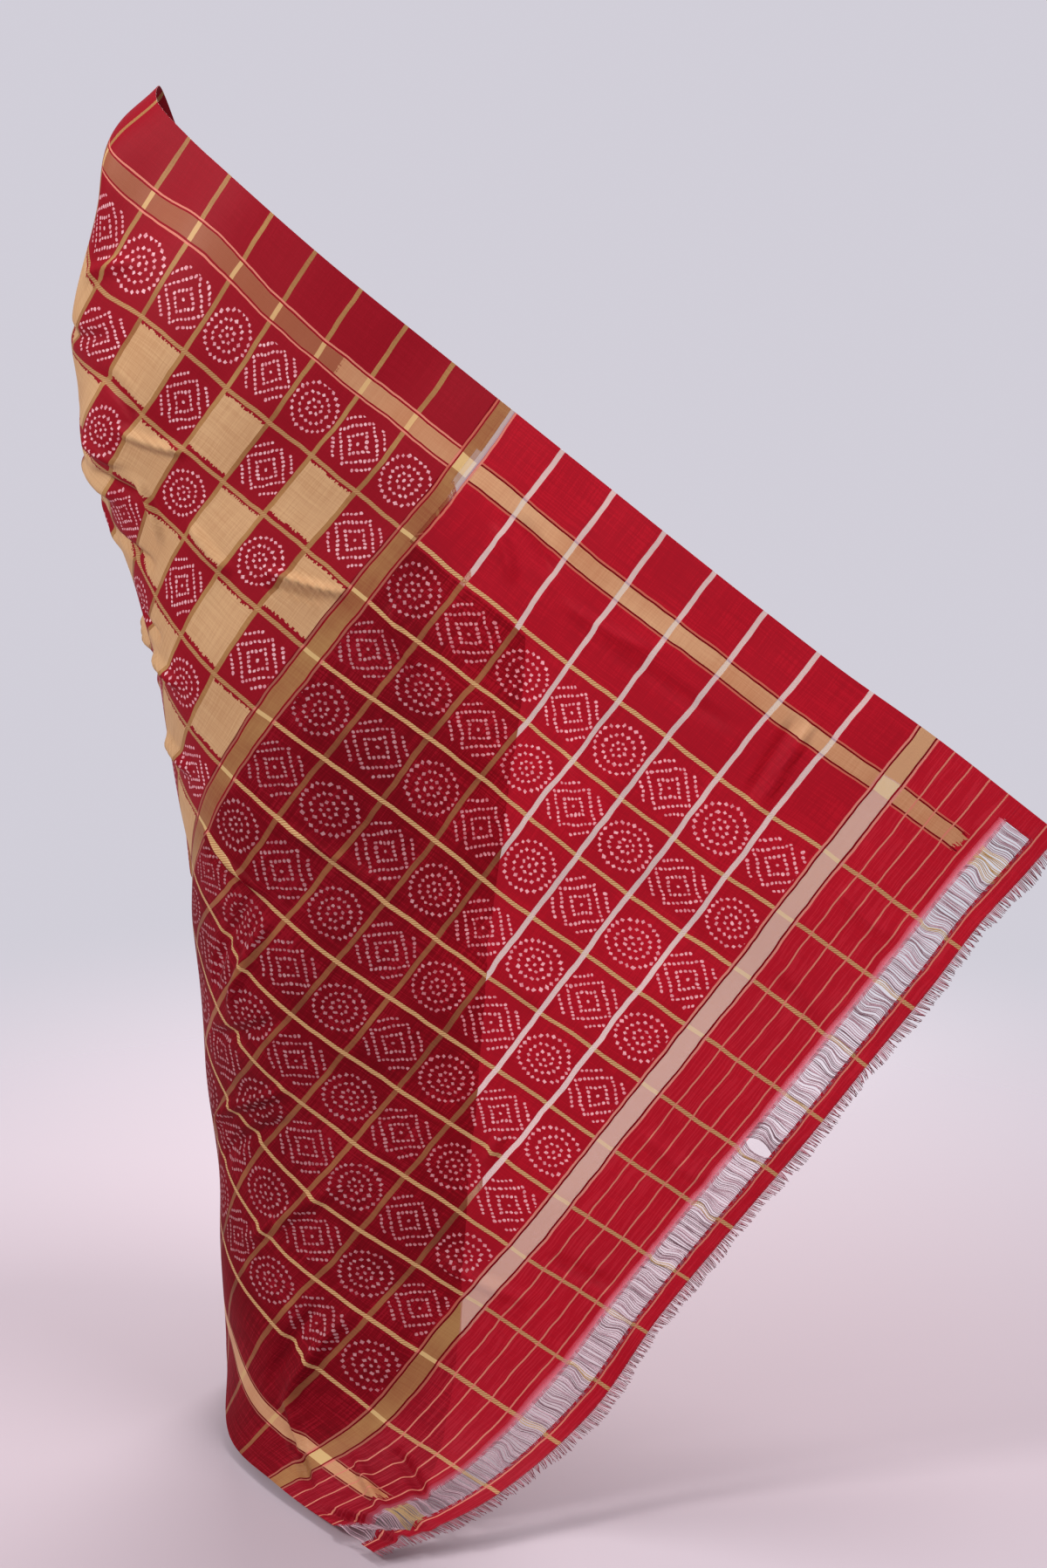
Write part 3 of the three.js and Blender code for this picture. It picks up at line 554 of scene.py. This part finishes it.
# Soft folds over the arm and side: middle, half width and height, and where they show across
folds = [
    {"u": 58, "half": 50, "out": -22, "from": 0.42, "full": 0.8},
    {"u": 116, "half": 42, "out": 12, "from": 0.46, "full": 0.8},
    {"u": 176, "half": 48, "out": -24, "from": 0.42, "full": 0.8},
    {"u": 236, "half": 42, "out": 11, "from": 0.5, "full": 0.85},
    {"u": 298, "half": 48, "out": -18, "from": 0.56, "full": 0.9},
    {"u": 360, "half": 44, "out": 8, "from": 0.6, "full": 0.9},
    {"u": 430, "half": 56, "out": -10, "from": 0.68, "full": 1.0},
    {"u": 560, "half": 60, "out": -6, "from": 0.8, "full": 1.0},
]
swags = [
    {"share": 0.07, "half": 0.035, "out": 5}, {"share": 0.17, "half": 0.045, "out": 7},
    {"share": 0.3, "half": 0.055, "out": 8}, {"share": 0.46, "half": 0.06, "out": 7},
    {"share": 0.64, "half": 0.07, "out": 6},
]
# gathers that run up to the shoulder, and how they fade in from the hip and out at the top
chestFolds = {"pitch": 74, "out": 7.5, "wander": 26, "wanderOver": 170, "lean": 9,
              "fade": 120, "endsAt": -20}
creaseDepth = 1.9
# Creases: two ends in mm of cloth, half width, depth (minus is a trough) and bow
creaseColumns = ("from", "to", "half", "out", "bow")
creases = [dict(zip(creaseColumns, row)) for row in (
    ((920, 48), (934, 168), 5, -3.5, 0),
    ((904, 56), (919, 170), 7, 2.5, 0),
    ((160, 268), (262, 238), 9, -5, 5),
    ((104, 236), (200, 250), 8, 3.5, -6),
    ((120, 306), (205, 296), 10, -3.6, 4),
    ((150, 340), (250, 318), 12, 3.6, 0),
    ((90, 372), (210, 352), 13, -4, -6),
    ((180, 420), (300, 372), 12, 4.5, 0),
    ((408, 286), (500, 246), 7, -4.5, 3),
    ((418, 300), (492, 268), 7, 3, 0),
    ((300, 300), (392, 312), 10, -3.5, 5),
    ((330, 470), (408, 444), 10, -5, 0),
    ((260, 452), (352, 430), 12, 4.5, 6),
    ((380, 560), (470, 520), 12, -4.5, 0),
    ((500, 566), (616, 550), 6, -4, 4),
    ((516, 580), (620, 566), 8, 3, 0),
    ((566, 488), (704, 470), 7, -3.5, -4),
    ((622, 552), (656, 716), 9, -4.5, 6),
    ((598, 560), (628, 720), 10, 3.5, 6),
    ((640, 780), (700, 640), 11, 3.5, 0),
    ((690, 884), (748, 700), 10, -4, -5),
    ((716, 900), (776, 722), 11, 3, -4),
    ((800, 930), (842, 760), 12, -3.5, 0),
    ((930, 876), (948, 1040), 11, -5, 5),
    ((904, 880), (922, 1030), 12, 4, 5),
    ((926, 600), (938, 664), 6, -3.5, 0),
    ((530, 226), (600, 268), 9, -3.5, 4),
    ((560, 96), (612, 132), 10, -3, -4),
    ((576, 74), (640, 100), 9, 2.5, 0),
    ((650, 112), (770, 96), 9, -2.5, 5),
    ((700, 118), (880, 110), 12, 2.2, 4),
    ((740, 230), (860, 300), 16, -2.6, 6),
    ((880, 300), (1010, 330), 16, 2.4, -8),
    ((780, 440), (900, 470), 17, -2.6, 7),
    ((1034, 180), (1110, 196), 9, -2.6, 3),
    ((1036, 300), (1114, 330), 11, 2.4, -4),
    ((1030, 520), (1116, 534), 12, -3, 4),
    ((1034, 700), (1116, 690), 13, 3, 5),
    ((940, 780), (1060, 760), 14, -3, 6),
    ((1022, 1008), (1128, 1068), 9, -5, 5),
    ((1034, 980), (1150, 1034), 11, 5, -6),
    ((1066, 1118), (1170, 1036), 10, 6, 7),
    ((1096, 1140), (1180, 1072), 8, -5, -4),
    ((960, 1040), (1052, 1098), 10, 5, 4),
    ((936, 1010), (1010, 1086), 9, -5, -5),
    ((140, 392), (206, 444), 11, -3.4, 5),
    ((84, 300), (160, 330), 10, 2.6, -5),
    ((210, 300), (292, 352), 9, -4.5, -4),
    ((236, 520), (318, 494), 10, -5, 5),
    ((30, 180), (96, 116), 10, -3, -6),
    ((10, 240), (110, 190), 12, 3.2, 5),
    ((20, 420), (130, 452), 14, -3, -7),
    ((200, 620), (330, 560), 15, -3.4, 8),
    ((210, 760), (340, 820), 15, -4, -8),
    ((330, 700), (440, 900), 15, 4, 9),
    ((60, 700), (150, 840), 16, -3, 8),
    ((80, 960), (300, 980), 18, 4, -10),
    ((-420, 210), (-200, 168), 13, -4, 8),
    ((-380, 420), (-160, 384), 14, -4.5, -9),
    ((-470, 640), (-250, 560), 16, 4, 9),
    ((-430, 830), (-190, 800), 16, -4, -10),
    ((-240, 960), (-60, 900), 16, 4, 8),
)]


def eased(t):
    t = np.clip(t, 0, 1)
    return t * t * (3 - 2 * t)


def hump(t):
    return np.where(np.abs(t) >= 1, 0, 0.5 + 0.5 * np.cos(np.pi * np.clip(t, -1, 1)))


def curveThrough(knots, values, spots):
    knots, values, spots = (np.asarray(a, float) for a in (knots, values, spots))
    steps = np.diff(knots)
    wide = steps[:, None]
    rises = np.diff(values, axis=-2) / wide
    slopes = np.concatenate([
        rises[..., :1, :],
        (rises[..., :-1, :] * wide[1:] + rises[..., 1:, :] * wide[:-1]) / (wide[1:] + wide[:-1]),
        rises[..., -1:, :]], axis=-2)
    inside = np.clip(spots, knots[0], knots[-1])
    left = np.clip(np.searchsorted(knots, inside) - 1, 0, len(knots) - 2)
    each = np.arange(len(spots))

    def pick(table, index):
        return table[index] if table.ndim == 2 else table[each, index]

    h = steps[left][:, None]
    t = ((inside - knots[left]) / steps[left])[:, None]
    out = ((2 * t**3 - 3 * t**2 + 1) * pick(values, left) + (t**3 - 2 * t**2 + t) * h
           * pick(slopes, left) + (3 * t**2 - 2 * t**3) * pick(values, left + 1)
           + (t**3 - t**2) * h * pick(slopes, left + 1))
    first, last = slopes[..., 0, :], slopes[..., -1, :]
    return (out + first * np.minimum(spots - knots[0], 0)[:, None]
            + last * np.maximum(spots - knots[-1], 0)[:, None])


def skirtPoints(turn, share, offset):
    height = skirt["top"] + (skirt["hem"] - skirt["top"]) * share
    rings = [[ring["midX"], ring["halfX"], ring["halfY"]] for ring in skirtRings]
    ring = curveThrough([ring["z"] for ring in skirtRings], rings, height)
    angle = np.radians(turn)
    return np.stack([ring[:, 0] + (ring[:, 1] + offset) * np.cos(angle),
                     (ring[:, 2] + offset) * np.sin(angle), height], -1)


def hipRow(back):
    shares = np.array(stationShares)
    turn = winding["hipTop"] + winding["hipLean"] * shares - back
    return skirtPoints(turn, shares, np.zeros(len(shares)))


rowPlaces = [skirt["hipLine"] - 150, skirt["hipLine"]] + [s["u"] for s in sections]
rowTable = np.stack([hipRow(66), hipRow(0)] + [np.array(s["at"], float) for s in sections])


def basePoints(u, share):
    table = rowTable.reshape(len(rowPlaces), -1)
    across = curveThrough(rowPlaces, table, u).reshape(len(u), len(stationShares), 3)
    return curveThrough(stationShares, across, share)


def baseNormals(u, share):
    du = basePoints(u + 2, share) - basePoints(u - 2, share)
    dv = basePoints(u, share + 0.002) - basePoints(u, share - 0.002)
    normal = np.cross(du, dv)
    return normal / np.linalg.norm(normal, axis=-1, keepdims=True)


def creaseHeights(u, v, table):
    out = np.zeros(len(u))
    for crease in table:
        start, end = np.array(crease["from"], float), np.array(crease["to"], float)
        run = end - start
        length = np.hypot(*run)
        t = ((u - start[0]) * run[0] + (v - start[1]) * run[1]) / length**2
        aside = ((u - start[0]) * run[1] - (v - start[1]) * run[0]) / length
        aside = aside + crease["bow"] * (4 * t * (1 - t))
        fade = eased(t / 0.3) * eased((1 - t) / 0.3)
        out += creaseDepth * crease["out"] * hump(aside / crease["half"]) * fade
    return out


def rippleHeights(u, v):
    return (0.5 * np.sin(u / 31 + 1.7 * np.sin(v / 97)) * np.sin(v / 59 + 0.8)
            + 0.35 * np.sin(u / 17 + v / 43 + 2.1) + 0.3 * np.sin(v / 21 - u / 71 + 0.4))


def drapePoints(u, share):
    out = creaseHeights(u, share * clothWidth, creases)
    out += rippleHeights(u, share * clothWidth) * eased((u + 560) / 60)
    for fold in folds:
        out += (fold["out"] * hump((u - fold["u"]) / fold["half"])
                * eased((share - fold["from"]) / (fold["full"] - fold["from"])))
    chest = (eased((u - skirt["hipLine"]) / chestFolds["fade"])
             * eased((chestFolds["endsAt"] - u) / chestFolds["fade"]))
    for swag in swags:
        out += swag["out"] * chest * hump((share - swag["share"]) / swag["half"])
    v = share * clothWidth
    wander = chestFolds["wander"] * np.sin(v / chestFolds["wanderOver"])
    across = 2 * np.pi * (v + wander + u / chestFolds["lean"]) / chestFolds["pitch"]
    out += chest * chestFolds["out"] * np.sin(across) * (0.75 + 0.25 * np.sin(v / 61 + u / 90))
    points = basePoints(u, share) + baseNormals(u, share) * out[:, None]
    points[:, 2] = np.maximum(points[:, 2], floorGap)
    return points


def linkMesh(name, vertices, faces, finish):
    mesh = bpy.data.meshes.new(name)
    mesh.from_pydata(vertices.tolist(), [], faces)
    mesh.polygons.foreach_set("use_smooth", np.ones(len(mesh.polygons), bool))
    piece = bpy.data.objects.new(name, mesh)
    scene.collection.objects.link(piece)
    mesh.materials.append(finish)
    return piece


def setClothPlaces(mesh, places):
    layer = mesh.uv_layers.new(name="clothPlace")
    corner = np.empty(len(mesh.loops), np.int32)
    mesh.loops.foreach_get("vertex_index", corner)
    layer.data.foreach_set("uv", np.asarray(places, np.float32)[corner].ravel())
    return corner


def shellFromGrid(name, grid, normals, clothPlace, finish, thick=shellThick):
    nu, nv = grid.shape[:2]
    count = nu * nv
    half = normals * thick / 2
    vertices = toFrame(np.concatenate([(grid + half).reshape(-1, 3), (grid - half).reshape(-1, 3)]))
    index = np.arange(count).reshape(nu, nv)
    a, b, c, d = index[:-1, :-1], index[1:, :-1], index[1:, 1:], index[:-1, 1:]
    front = np.stack([a, b, c, d], -1).reshape(-1, 4)
    back = np.stack([a, d, c, b], -1).reshape(-1, 4) + count
    rim = []
    for edge in (index[0, ::-1], index[-1], index[::-1, -1], index[:, 0]):
        rim.append(np.stack([edge[:-1], edge[:-1] + count, edge[1:] + count, edge[1:]], -1))
    rimFaces = np.concatenate(rim)
    piece = linkMesh(name, vertices, np.concatenate([front, back, rimFaces]).tolist(), finish)
    mesh = piece.data
    corner = setClothPlaces(mesh, np.tile(clothPlace.reshape(-1, 2), (2, 1)))
    flat = normals.reshape(-1, 3)
    cornerNormals = np.concatenate([flat, -flat])[corner]
    faceNormals = np.empty(len(mesh.polygons) * 3)
    mesh.polygons.foreach_get("normal", faceNormals)
    rimStart = (len(front) + len(back)) * 4
    cornerNormals[rimStart:] = np.repeat(faceNormals.reshape(-1, 3)[-len(rimFaces):], 4, axis=0)
    mesh.normals_split_custom_set(cornerNormals.tolist())
    return piece


def gridNormals(grid):
    normal = np.cross(np.gradient(grid, axis=0), np.gradient(grid, axis=1))
    return normal / np.maximum(np.linalg.norm(normal, axis=-1, keepdims=True), 1e-9)


def spread(start, end, step):
    return np.linspace(start, end, max(1, round((end - start) / step)) + 1)


meshStep = {"along": 4.2, "across": 4.6}


def drapeShell(name, start, end, finish, shares=(0, 1), step=None):
    us = spread(start, end, step or meshStep["along"])
    inner = us[1] - us[0]
    us = np.concatenate([[start - inner], us, [end + inner]])
    rows = spread(shares[0] * clothWidth, shares[1] * clothWidth, meshStep["across"]) / clothWidth
    u, share = (g.ravel() for g in np.meshgrid(us, rows, indexing="ij"))
    grid = drapePoints(u, share).reshape(len(us), len(rows), 3)
    normals = gridNormals(grid)[1:-1]
    clothPlace = np.stack([u / 1000, share * clothWidth / 1000], -1).reshape(len(us), len(rows), 2)
    return shellFromGrid(name, grid[1:-1], normals, clothPlace[1:-1], finish)


torsoDrape = drapeShell("torso_drape_silk", skirt["hipLine"], places["shoulder"], bodySilk)
sideDrape = drapeShell("side_drape_silk", places["shoulder"], places["palluStart"], bodySilk)
palluField = drapeShell("pallu_field_silk", places["palluStart"], places["endBorder"], palluSilk)
palluEnd = drapeShell("pallu_end_silk", places["endBorder"], places["openStart"], palluSilk)
endStrip = drapeShell("end_strip_silk", places["openEnd"], places["fringeRoot"], palluSilk,
                      step=3)
bandEdge = drapeShell("band_edge_silk", places["openStart"], places["openEnd"], palluSilk,
                      shares=(0, edgeWide / clothWidth), step=3)
print("drape shells ready")


# the skirt: two turns and the pleats between them
def pleatStep(share):
    return pleats["stepTop"] + (pleats["stepHem"] - pleats["stepTop"]) * eased(share)


def innerTurnPath(share):
    t = np.linspace(0, 1, 35)
    turn = winding["start"] + (winding["pleatsRight"] - winding["start"]) * t
    return turn, winding["startOffset"] + (winding["innerOffset"] - winding["startOffset"]) * t


def outerStart(share):
    return (winding["pleatsLeft"] + 2 + pleats["layers"] * pleats["slipLeft"]
            + pleats["fanHem"] * share,
            winding["innerOffset"] + (pleats["layers"] - 1) * pleatStep(share))


def pleatPath(share):
    step, fan = pleatStep(share), pleats["fanHem"] * share
    reach = math.degrees(step / 2 / 122)
    turns, offsets = [winding["pleatsRight"]], [winding["innerOffset"]]
    for layer in range(pleats["layers"]):
        goesLeft = layer % 2 == 0
        base, slip = winding["innerOffset"] + layer * step, layer * pleats["slipLeft"]
        right = winding["pleatsRight"] + (0.5 if layer == 0 else 1.5 + slip - fan)
        left = winding["pleatsLeft"] - 6 + slip + fan
        start, end = (right, left) if goesLeft else (left, right)
        for t in (0.1, 0.3, 0.5, 0.7, 0.9):
            turns.append(start + (end - start) * t)
            offsets.append(base)
        if layer == pleats["layers"] - 1:
            break
        side = 1 if goesLeft else -1
        for out, up in ((0.2, 0), (0.75, 0.1), (1, 0.35), (1, 0.65), (0.75, 0.9), (0.2, 1)):
            turns.append(end + side * reach * out)
            offsets.append(base + step * up)
    turn, offset = outerStart(share)
    return np.array(turns + [turn]), np.array(offsets + [offset])


def outerTurnPath(share):
    startTurn, startOffset = outerStart(share)
    steps, first = winding["steps"], winding["settleSteps"]
    i = np.linspace(0, steps, 121)
    hip = winding["hipTop"] + winding["hipLean"] * share
    turn = np.where(i < first, startTurn + (winding["settled"] - startTurn) * (i / first) ** 1.3,
                    winding["settled"] + (hip - winding["settled"]) * (i - first) / (steps - first))
    settle = eased((turn - startTurn) / (winding["settled"] - startTurn))
    return turn, startOffset * (1 - settle)


def skirtShell(name, pathAt, lastU, hangs=0.0):
    shares = spread(0, 1, 0.008)
    lines = []
    for share in shares:
        turn, offset = pathAt(share)
        if hangs:
            drop = eased(share / 0.5)
            offset = offset + hangs * drop * (np.sin(np.radians(turn) * 9 + 1.3) * 0.6 + np.sin(
                np.radians(turn) * 5.3 + share * 1.1) * 0.8) * eased((turn - winding["settled"]) / 20)
        lines.append(skirtPoints(turn, np.full(len(turn), share), offset))
    grid = np.stack(lines, 1)
    if pathAt is outerTurnPath:
        before = np.linspace(winding["steps"], 0, grid.shape[0]) * winding["stepLength"]
        pull = eased(1 - before / winding["joinLength"])[:, None]
        for j, share in enumerate(shares):
            u = skirt["hipLine"] - before
            joined = basePoints(u, np.full(len(u), share))
            grid[:, j] = grid[:, j] * (1 - pull) + joined * pull
    middle = grid[:, len(shares) // 2]
    steps = np.linalg.norm(np.diff(middle, axis=0), axis=-1)
    u = lastU - np.concatenate([[0], np.cumsum(steps[::-1])])[::-1]
    clothPlace = np.stack(np.broadcast_arrays(u[:, None], shares[None, :] * clothWidth), -1) / 1000
    normals = -gridNormals(grid)
    print(name, "is", round(float(steps.sum())), "mm long")
    return shellFromGrid(name, grid[:, ::-1], normals[:, ::-1], clothPlace[:, ::-1],
                         bodySilk), u[0]


outerTurn, pleatsEnd = skirtShell("outer_turn_silk", outerTurnPath, skirt["hipLine"],
                                  winding["hangs"])
frontPleats, innerEnd = skirtShell("front_pleats_silk", pleatPath, pleatsEnd)
innerTurn, clothStart = skirtShell("inner_turn_silk", innerTurnPath, innerEnd)
print("skirt ready, the cloth starts at", round(float(clothStart)))


# loose threads: the open band and the fringe
threadLooks = {
    "openThreads": {"pale": (220, 184, 194), "deep": (112, 56, 72), "glow": 0.35, "paler": 0.5},
    "fringeThreads": {"pale": (196, 96, 114), "deep": (122, 26, 42), "glow": 0.25,
                      "paler": 1},
}


def threadFinish(name, goldAt=()):
    look = threadLooks[name]
    material, tree = newMaterial(name)
    chart = Chart(tree)
    cloth = tree.nodes.new("ShaderNodeUVMap")
    cloth.uv_map = "clothPlace"
    apart = tree.nodes.new("ShaderNodeSeparateXYZ")
    tree.links.new(cloth.outputs[0], apart.inputs[0])
    v = chart.times(apart.outputs[1], 1000)
    tone = chart.speckle(chart.pair(chart.whole(chart.over(v, 2.6)), 3))
    colour = chart.blendColour(chart.sum("POWER", tone, look["paler"]), mixed(look["deep"]),
                       mixed(look["pale"]))
    for low, high in goldAt:
        colour = chart.blendColour(chart.between(v, low, high), colour, paint("goldPale"))
    if goldAt:
        line = chart.below(chart.size(chart.minus(chart.sum("FLOORED_MODULO", v, 80), 40)), 37.2)
        colour = chart.blendColour(chart.both(chart.unless(line), chart.between(v, 150, 970)), colour,
                           paint("goldPale"))
    shader = tree.nodes["Principled BSDF"]
    shader.inputs["Roughness"].default_value = 0.6
    shader.inputs["Sheen Weight"].default_value = 0.3
    tree.links.new(colour, shader.inputs["Base Color"])
    ply = tree.nodes.new("ShaderNodeTexNoise")
    ply.inputs["Scale"].default_value = 900
    addBump(tree, ply.outputs["Fac"], 0.3, 0.0002)
    glow = addGlow(tree, colour)
    glow.inputs["Fac"].default_value = look["glow"]
    tree.links.new(glow.outputs[0], tree.nodes["Material Output"].inputs["Surface"])
    return material


openBand = {"threads": 640, "thick": 0.95, "tuckIn": 3, "split": 0.416, "splitHalf": 9,
            "sway": 0.9, "points": 7, "lift": 1.0}
fringe = {"strands": 760, "thick": 1.1, "points": 4, "shortest": 8, "longest": 13}


def threadMesh(name, paths, sides, radii, placesAlong, finish):
    count, steps = paths.shape[:2]
    run = np.gradient(paths, axis=1)
    run /= np.maximum(np.linalg.norm(run, axis=-1, keepdims=True), 1e-9)
    sideways = np.cross(run, [0.3, -0.9, 0.3])
    sideways /= np.maximum(np.linalg.norm(sideways, axis=-1, keepdims=True), 1e-9)
    upward = np.cross(run, sideways)
    rings = []
    for k in range(sides):
        turn = 2 * math.pi * k / sides
        rings.append(paths + radii[..., None] * (sideways * math.cos(turn)
                                                  + upward * math.sin(turn)))
    vertices = np.stack(rings, 2)
    index = np.arange(count * steps * sides).reshape(count, steps, sides)
    following = np.roll(index, -1, axis=2)
    walls = np.stack([index[:, :-1], following[:, :-1], following[:, 1:], index[:, 1:]], -1)
    faces = walls.reshape(-1, 4).tolist()
    faces += index[:, 0, ::-1].tolist() + index[:, -1].tolist()
    piece = linkMesh(name, toFrame(vertices.reshape(-1, 3)), faces, finish)
    setClothPlaces(piece.data, np.repeat(placesAlong.reshape(-1, 2), sides, axis=0) / 1000)
    return piece


def makeOpenThreads():
    chance = np.random.default_rng(7)
    count, steps = openBand["threads"], openBand["points"]
    v = 22 + (clothWidth - 23) * (np.arange(count) + 0.5) / count
    t = np.linspace(0, 1, steps)[None, :]
    u = (places["openStart"] - openBand["tuckIn"]
         + (places["openEnd"] - places["openStart"] + 2 * openBand["tuckIn"]) * t)
    envelope = np.sin(np.pi * t) ** 0.8
    gather = (openBand["sway"] * np.sin(v / 2.15 + 1.1 * np.sin(v / 37))
              + 0.8 * np.sin(v / 1.21 + 0.5))[:, None]
    drift = (2.4 * np.sin(v / 19) + 1.6 * np.sin(v / 8.3 + 1))[:, None] * np.sin(2 * np.pi * t)
    off = v - openBand["split"] * clothWidth
    pushed = (np.sign(off) * openBand["splitHalf"] * np.exp(-np.abs(off) / 11))[:, None]
    wavedV = v[:, None] + envelope * (gather + pushed) + drift
    wavedV += envelope * chance.normal(0, 0.5, (count, 1))
    lift = envelope * (openBand["lift"] * np.sin(v / 1.7)[:, None]
                       + chance.normal(0, 0.35, (count, 1)))
    uAll = np.broadcast_to(u, wavedV.shape)
    shares = np.clip(wavedV / clothWidth, 0.004, 0.999)
    points = drapePoints(uAll.ravel(), shares.ravel()).reshape(count, steps, 3)
    normals = baseNormals(uAll.ravel(), shares.ravel()).reshape(count, steps, 3)
    points = points + normals * lift[..., None]
    points[..., 2] = np.maximum(points[..., 2], floorGap)
    radii = np.full((count, steps), openBand["thick"] / 2)
    cloth = np.stack([uAll, np.broadcast_to(v[:, None], wavedV.shape)], -1)
    finish = threadFinish("openThreads", ((58, 83), (1037, 1063)))
    return threadMesh("open_threads", points, 4, radii, cloth, finish)


def makeFringe():
    chance = np.random.default_rng(11)
    count, steps = fringe["strands"], fringe["points"]
    v = 1 + (clothWidth - 2) * (np.arange(count) + 0.5) / count
    t = np.linspace(0, 1, steps)[None, :]
    bunch = np.round(v / 7.5 + 0.35 * np.sin(v / 23)) * 7.5
    length = fringe["shortest"] + (fringe["longest"] - fringe["shortest"]) * (
        0.5 + 0.3 * np.sin(v / 31) + 0.2 * np.sin(v / 7.7)) + chance.normal(0, 0.8, count)
    length = np.clip(length, 4, places["fringeTip"] - places["fringeRoot"] + 1)
    u = places["fringeRoot"] - 1 + t * (length[:, None] + 1)
    pull = chance.uniform(0.25, 0.9, (count, 1))
    lean = (2.2 * np.sin(v / 44) + chance.normal(0, 0.9, count))[:, None]
    wavedV = v[:, None] + t**1.4 * ((bunch - v)[:, None] * pull + lean)
    lift = t**1.5 * chance.normal(0, 1.1, (count, 1))
    shares = np.clip(wavedV / clothWidth, 0, 1)
    points = drapePoints(u.ravel(), shares.ravel()).reshape(count, steps, 3)
    normals = baseNormals(u.ravel(), shares.ravel()).reshape(count, steps, 3)
    points = points + normals * lift[..., None]
    points[..., 2] = np.maximum(points[..., 2], floorGap)
    radii = np.broadcast_to(fringe["thick"] / 2 * (1 - 0.4 * t), (count, steps))
    cloth = np.stack([u, np.broadcast_to(v[:, None], u.shape)], -1)
    return threadMesh("end_fringe_threads", points, 3, radii, cloth, threadFinish("fringeThreads"))


openThreads, endFringe = makeOpenThreads(), makeFringe()
print("threads ready")

# what rides and what it replaces; each piece's slot, flat size, hold and what it lies on are only listed
pieces = [
    {"piece": innerTurn, "stands": ["inner_turn"], "slot": "body_silk",
     "flat": (1.12, 0.72), "held": "hung", "on": []},
    {"piece": frontPleats, "stands": ["front_pleats"], "slot": "body_silk",
     "flat": (1.12, 1.66), "held": "gathered", "on": ["inner_turn_silk"]},
    {"piece": outerTurn, "stands": ["outer_turn"], "slot": "body_silk",
     "flat": (1.12, 0.55), "held": "hung", "on": ["front_pleats_silk"]},
    {"piece": torsoDrape, "stands": ["torso_drape"], "slot": "body_silk",
     "flat": (1.12, 0.59), "held": "draped", "on": ["outer_turn_silk"]},
    {"piece": sideDrape, "stands": ["side_drape"], "slot": "body_silk",
     "flat": (1.12, 0.49), "held": "draped", "on": ["torso_drape_silk"]},
    {"piece": palluField, "stands": ["pallu_field"], "slot": "body_silk",
     "flat": (1.12, 0.537), "held": "draped", "on": ["side_drape_silk"]},
    {"piece": palluEnd, "stands": ["pallu_end"], "slot": "end_silk",
     "flat": (1.12, 0.092), "held": "draped", "on": ["pallu_field_silk"],
     "with": [openThreads, bandEdge]},
    {"piece": endStrip, "stands": ["end_strip"], "slot": "end_silk",
     "flat": (1.12, 0.018), "held": "draped", "on": ["open_threads"], "with": [endFringe]},
    {"piece": bandEdge, "stands": [], "slot": "end_silk"},
    {"piece": openThreads, "stands": ["open_thread_band"], "slot": "open_threads"},
    {"piece": endFringe, "stands": ["end_fringe"], "slot": "fringe_threads"},
]
for row in pieces:
    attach(row["piece"], "root")
    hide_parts(*row["stands"])

print("saree ready")
